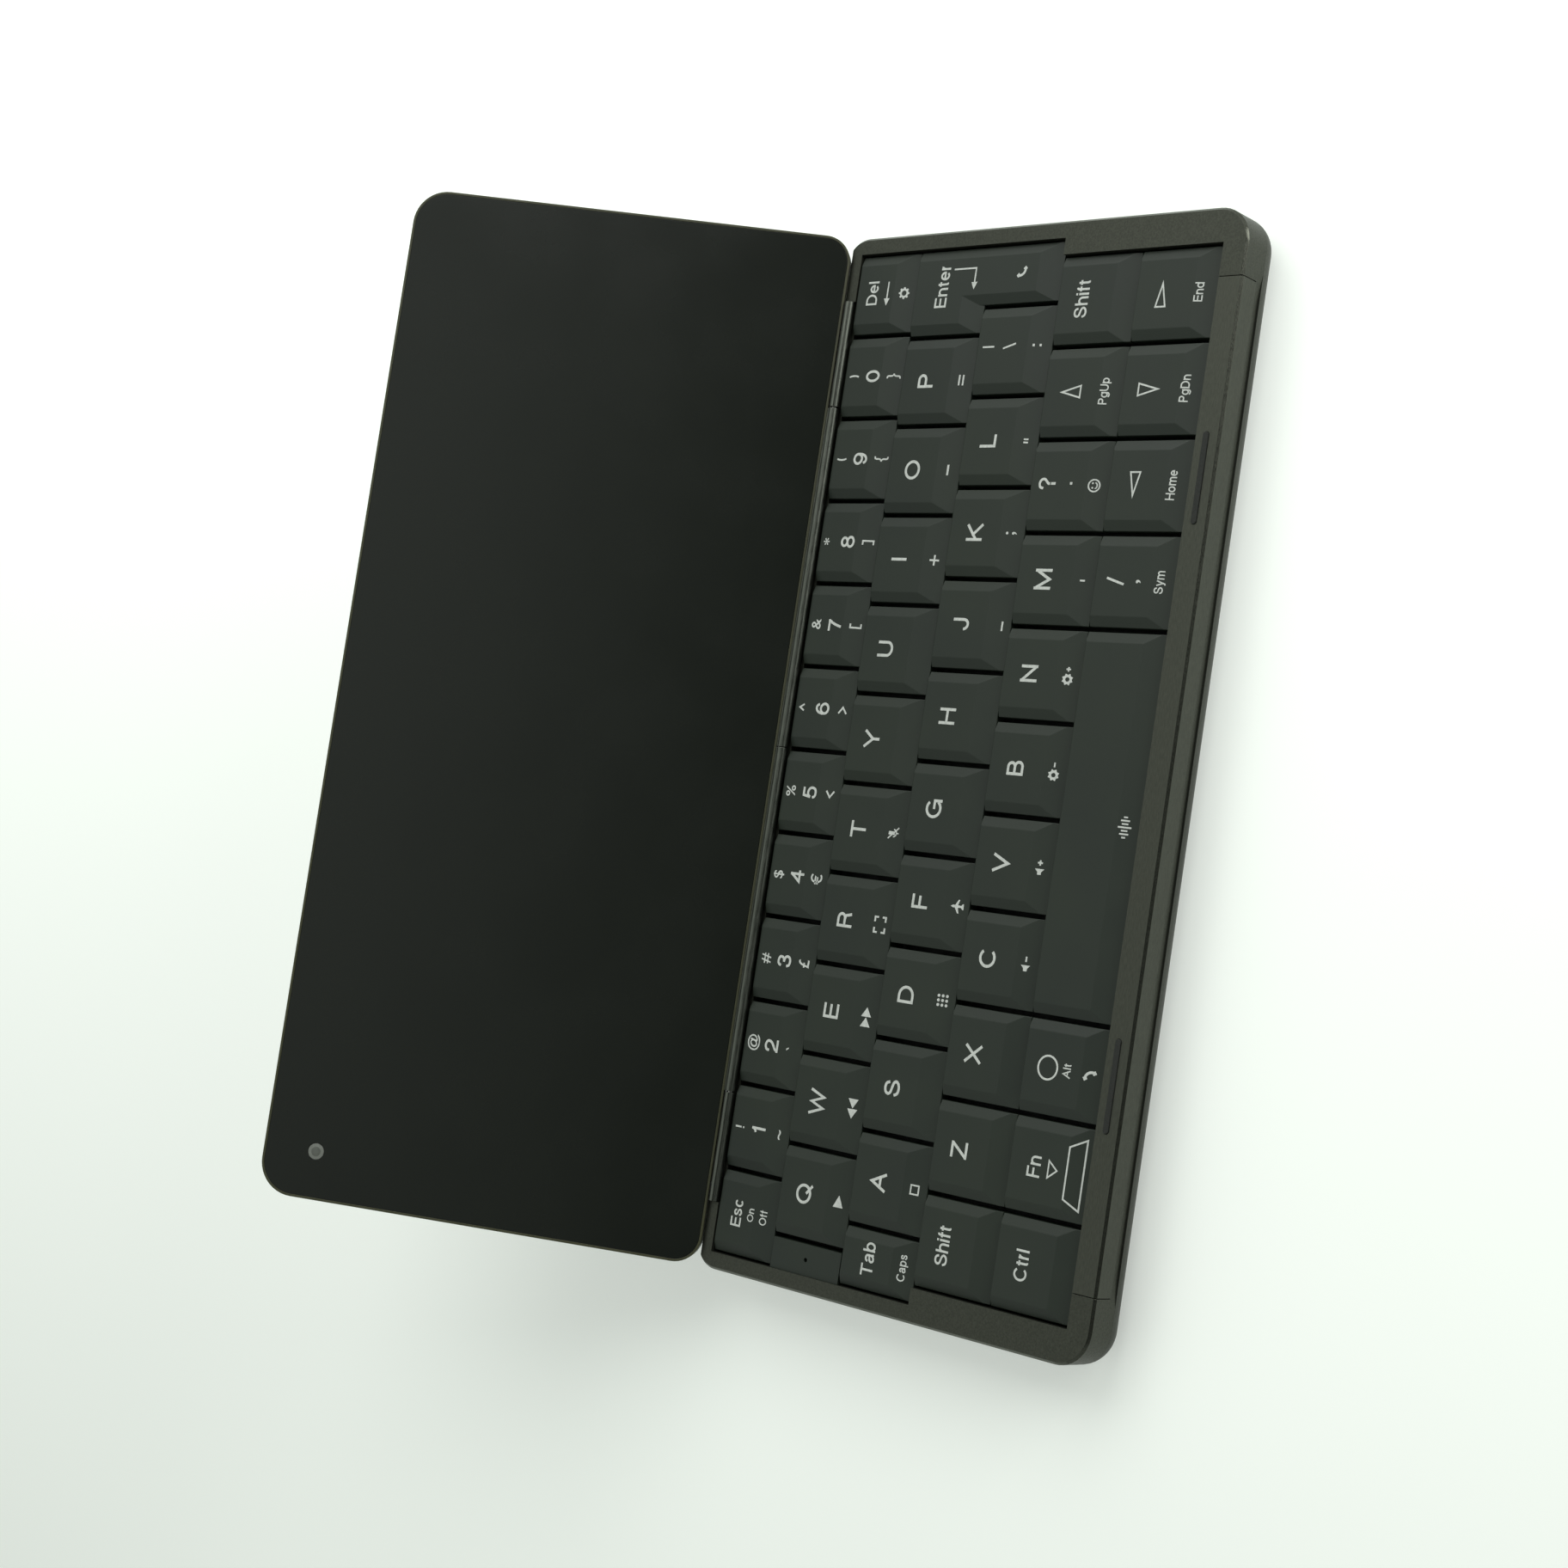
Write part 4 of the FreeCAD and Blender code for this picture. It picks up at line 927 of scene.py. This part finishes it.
def contacts():
    """Gilt contact strips on both faces of each socket's tongue."""
    low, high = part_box("usb_sockets")
    y, z = (low.y + high.y) / 2, (low.z + high.z) / 2
    inner_end, outer_end = high.x - 3.2 * MM, high.x - 0.85 * MM
    count, pitch, half_width = 8, 0.72 * MM, 0.17 * MM
    tongue, gilt = 0.34 * MM, 0.38 * MM  # from the tongue's middle to its skin and the strip's
    strips = []
    for side in (-1, 1):
        x0, x1 = sorted((side * inner_end, side * outer_end))
        for i in range(count):
            at = y + (i - (count - 1) / 2) * pitch
            for face in (-1, 1):
                z0, z1 = sorted((z + face * tongue, z + face * gilt))
                strips.append(small_box((x0, at - half_width, z0), (x1, at + half_width, z1)))
    take(*strips)
    bpy.ops.object.join()
    strips = bpy.context.object
    finish_piece(strips, "socket_contacts", "case", "socket_steel", small_finishes["contacts"])


def lens():
    """The front camera's lens and its ring, on the window that is flush with the glass."""
    glass = nodes["cover_glass"].data.polygons
    facing = max(glass, key=lambda face: face.area * (face.normal.z > 0)).normal.copy()
    window = [v.co for v in nodes["front_camera"].data.vertices]
    top = max(p.dot(facing) for p in window)
    rim = [p for p in window if p.dot(facing) > top - 10 * WELD]
    centre = Vector((min(p[i] for p in rim) + max(p[i] for p in rim)) / 2 for i in range(3))
    turn = facing.to_track_quat("Z", "Y").to_matrix().to_4x4()
    for name, radius, thickness, finish in (
        ("lens_ring", 1.3 * MM, 0.02 * MM, "lens_ring"),
        ("camera_lens", 0.8 * MM, 0.05 * MM, "lens"),
    ):
        bpy.ops.object.select_all(action="DESELECT")
        bpy.ops.mesh.primitive_cylinder_add(vertices=64, radius=radius, depth=thickness)
        disc = bpy.context.object
        disc.data.transform(Matrix.Translation(centre) @ turn)
        edge = disc.modifiers.new("rounded_edge", "BEVEL")
        edge.width = 0.4 * thickness
        edge.segments = 3
        bpy.ops.object.modifier_apply(modifier=edge.name)
        bpy.ops.object.shade_smooth_by_angle(angle=math.radians(50))
        finish_piece(disc, name, "lid", "camera", small_finishes[finish])


for node in ("case_frame", "front_trim"):
    polish_rim(bpy.data.objects[node + "_finished"])
contacts()
lens()

# The nodes that stay as they are, inside the case and lid, get their finishes.
for obj in nodes.values():
    slot = obj.data.materials[0].name
    if slot in finishes:
        obj.material_slots[0].material = finishes[slot]


# ---------------------------------------------------------------- stage and light
def pale_floor():
    """The table the object lies on, wide enough to reach the horizon."""
    bpy.ops.object.select_all(action="DESELECT")
    bpy.ops.mesh.primitive_plane_add(size=60, location=(0, 0, 0))
    floor = bpy.context.object
    floor.name = "pale_floor"
    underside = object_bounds()[0].z
    for vertex in floor.data.vertices:
        vertex.co.z += underside
    # Pale matt floor whose own glow is painted light: it emits though it is no lamp, more so towards
    # the right end, which brightens the ground and fills in the object's shadows on it.
    material, tree, surface, place = blank(
        "opal_acrylic_table", IOR=1.45, Roughness=0.75, Emission_Color=linear("#fafffa")
    )
    cloud = add(tree, "ShaderNodeTexNoise", {"Scale": 3.0, "Detail": 2.0}, [("Vector", place)])
    colour = between(tree, spread(tree, cloud.outputs["Fac"], 0, 1), "#cfd4ce", "#d3d8d2")
    tree.links.new(colour, surface.inputs["Base Color"])
    along = add(tree, "ShaderNodeSeparateXYZ", {}, [("Vector", place)]).outputs["X"]
    # Painted light: the emission grows from left to right, a painted falloff of light across the
    # floor.
    painted_glow = spread(tree, along, 0.14, 0.58, -0.3, 0.1)
    tree.links.new(painted_glow, surface.inputs["Emission Strength"])
    floor.data.materials.append(material)
    floor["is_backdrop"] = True


LIT_POINT = Vector((0, 0.02, 0))  # where the lamps face


def softbox(name, direction, distance, size, power, colour):
    """A large square lamp that faces the object from this direction."""
    bpy.ops.object.light_add(type="AREA")
    lamp = bpy.context.object
    lamp.name = name
    lamp.data.shape = "SQUARE"
    lamp.data.size = size
    lamp.data.energy = power
    lamp.data.color = linear(colour)[:3]
    toward = Vector(direction).normalized()
    lamp.location = toward * distance + LIT_POINT
    lamp.rotation_euler = toward.to_track_quat("Z", "Y").to_euler()


def light_tent():
    """A white tent all round, with a dark opening above the front where one looks in."""
    world = bpy.data.worlds.new("light_tent")
    bpy.context.scene.world = world
    world.use_nodes = True
    tree = world.node_tree
    tree.nodes.clear()
    place = add(tree, "ShaderNodeTexCoord", {}).outputs["Generated"]
    facing = add(
        tree,
        "ShaderNodeVectorMath",
        {"operation": "DOT_PRODUCT", 1: (0.03, -0.62, 0.78)},
        [(0, place)],
    )
    opening = add(
        tree,
        "ShaderNodeMapRange",
        {"interpolation_type": "SMOOTHSTEP", "From Min": 0.45, "From Max": 0.9},
        [("Value", facing.outputs["Value"])],
    ).outputs["Result"]
    # The tent's cloth shows as a soft strip along the opening's far edge.
    sides = add(tree, "ShaderNodeSeparateXYZ", {}, [("Vector", place)])
    strip = spread(tree, sides.outputs["Y"], 0.0, 1.0, -0.46, -0.3)
    for fade in (
        spread(tree, sides.outputs["Y"], 1.0, 0.0, -0.27, -0.13),
        spread(tree, sides.outputs["X"], 0.3, 1.0, -0.3, 0.15),
        spread(tree, sides.outputs["X"], 1.0, 0.0, 0.35, 0.6),
    ):
        strip = add(
            tree, "ShaderNodeMath", {"operation": "MULTIPLY"}, [(0, strip), (1, fade)]
        ).outputs["Value"]
    shade = add(
        tree,
        "ShaderNodeMath",
        {"operation": "SUBTRACT", "use_clamp": True},
        [(0, opening), (1, strip)],
    ).outputs["Value"]
    colour = between(tree, shade, "#dde3dd", "#4e524e")
    side = add(
        tree,
        "ShaderNodeVectorMath",
        {"operation": "DOT_PRODUCT", 1: (0.95, 0.2, 0.2)},
        [(0, place)],
    )
    strength = spread(tree, side.outputs["Value"], 0.86, 1.02, -1, 1)
    sky = add(tree, "ShaderNodeBackground", {}, [("Color", colour), ("Strength", strength)])
    add(tree, "ShaderNodeOutputWorld", {}, [("Surface", sky.outputs["Background"])])


rolled_camera()
light_tent()
pale_floor()
softbox("right_softbox", (1.0, 0.1, 1.0), 1.0, 0.9, 5.5, "#ffffff")
softbox("front_fill", (0.7, -1.0, 0.28), 1.1, 0.6, 5.4, "#fdfffc")
bpy.context.scene.view_settings.view_transform = "Standard"
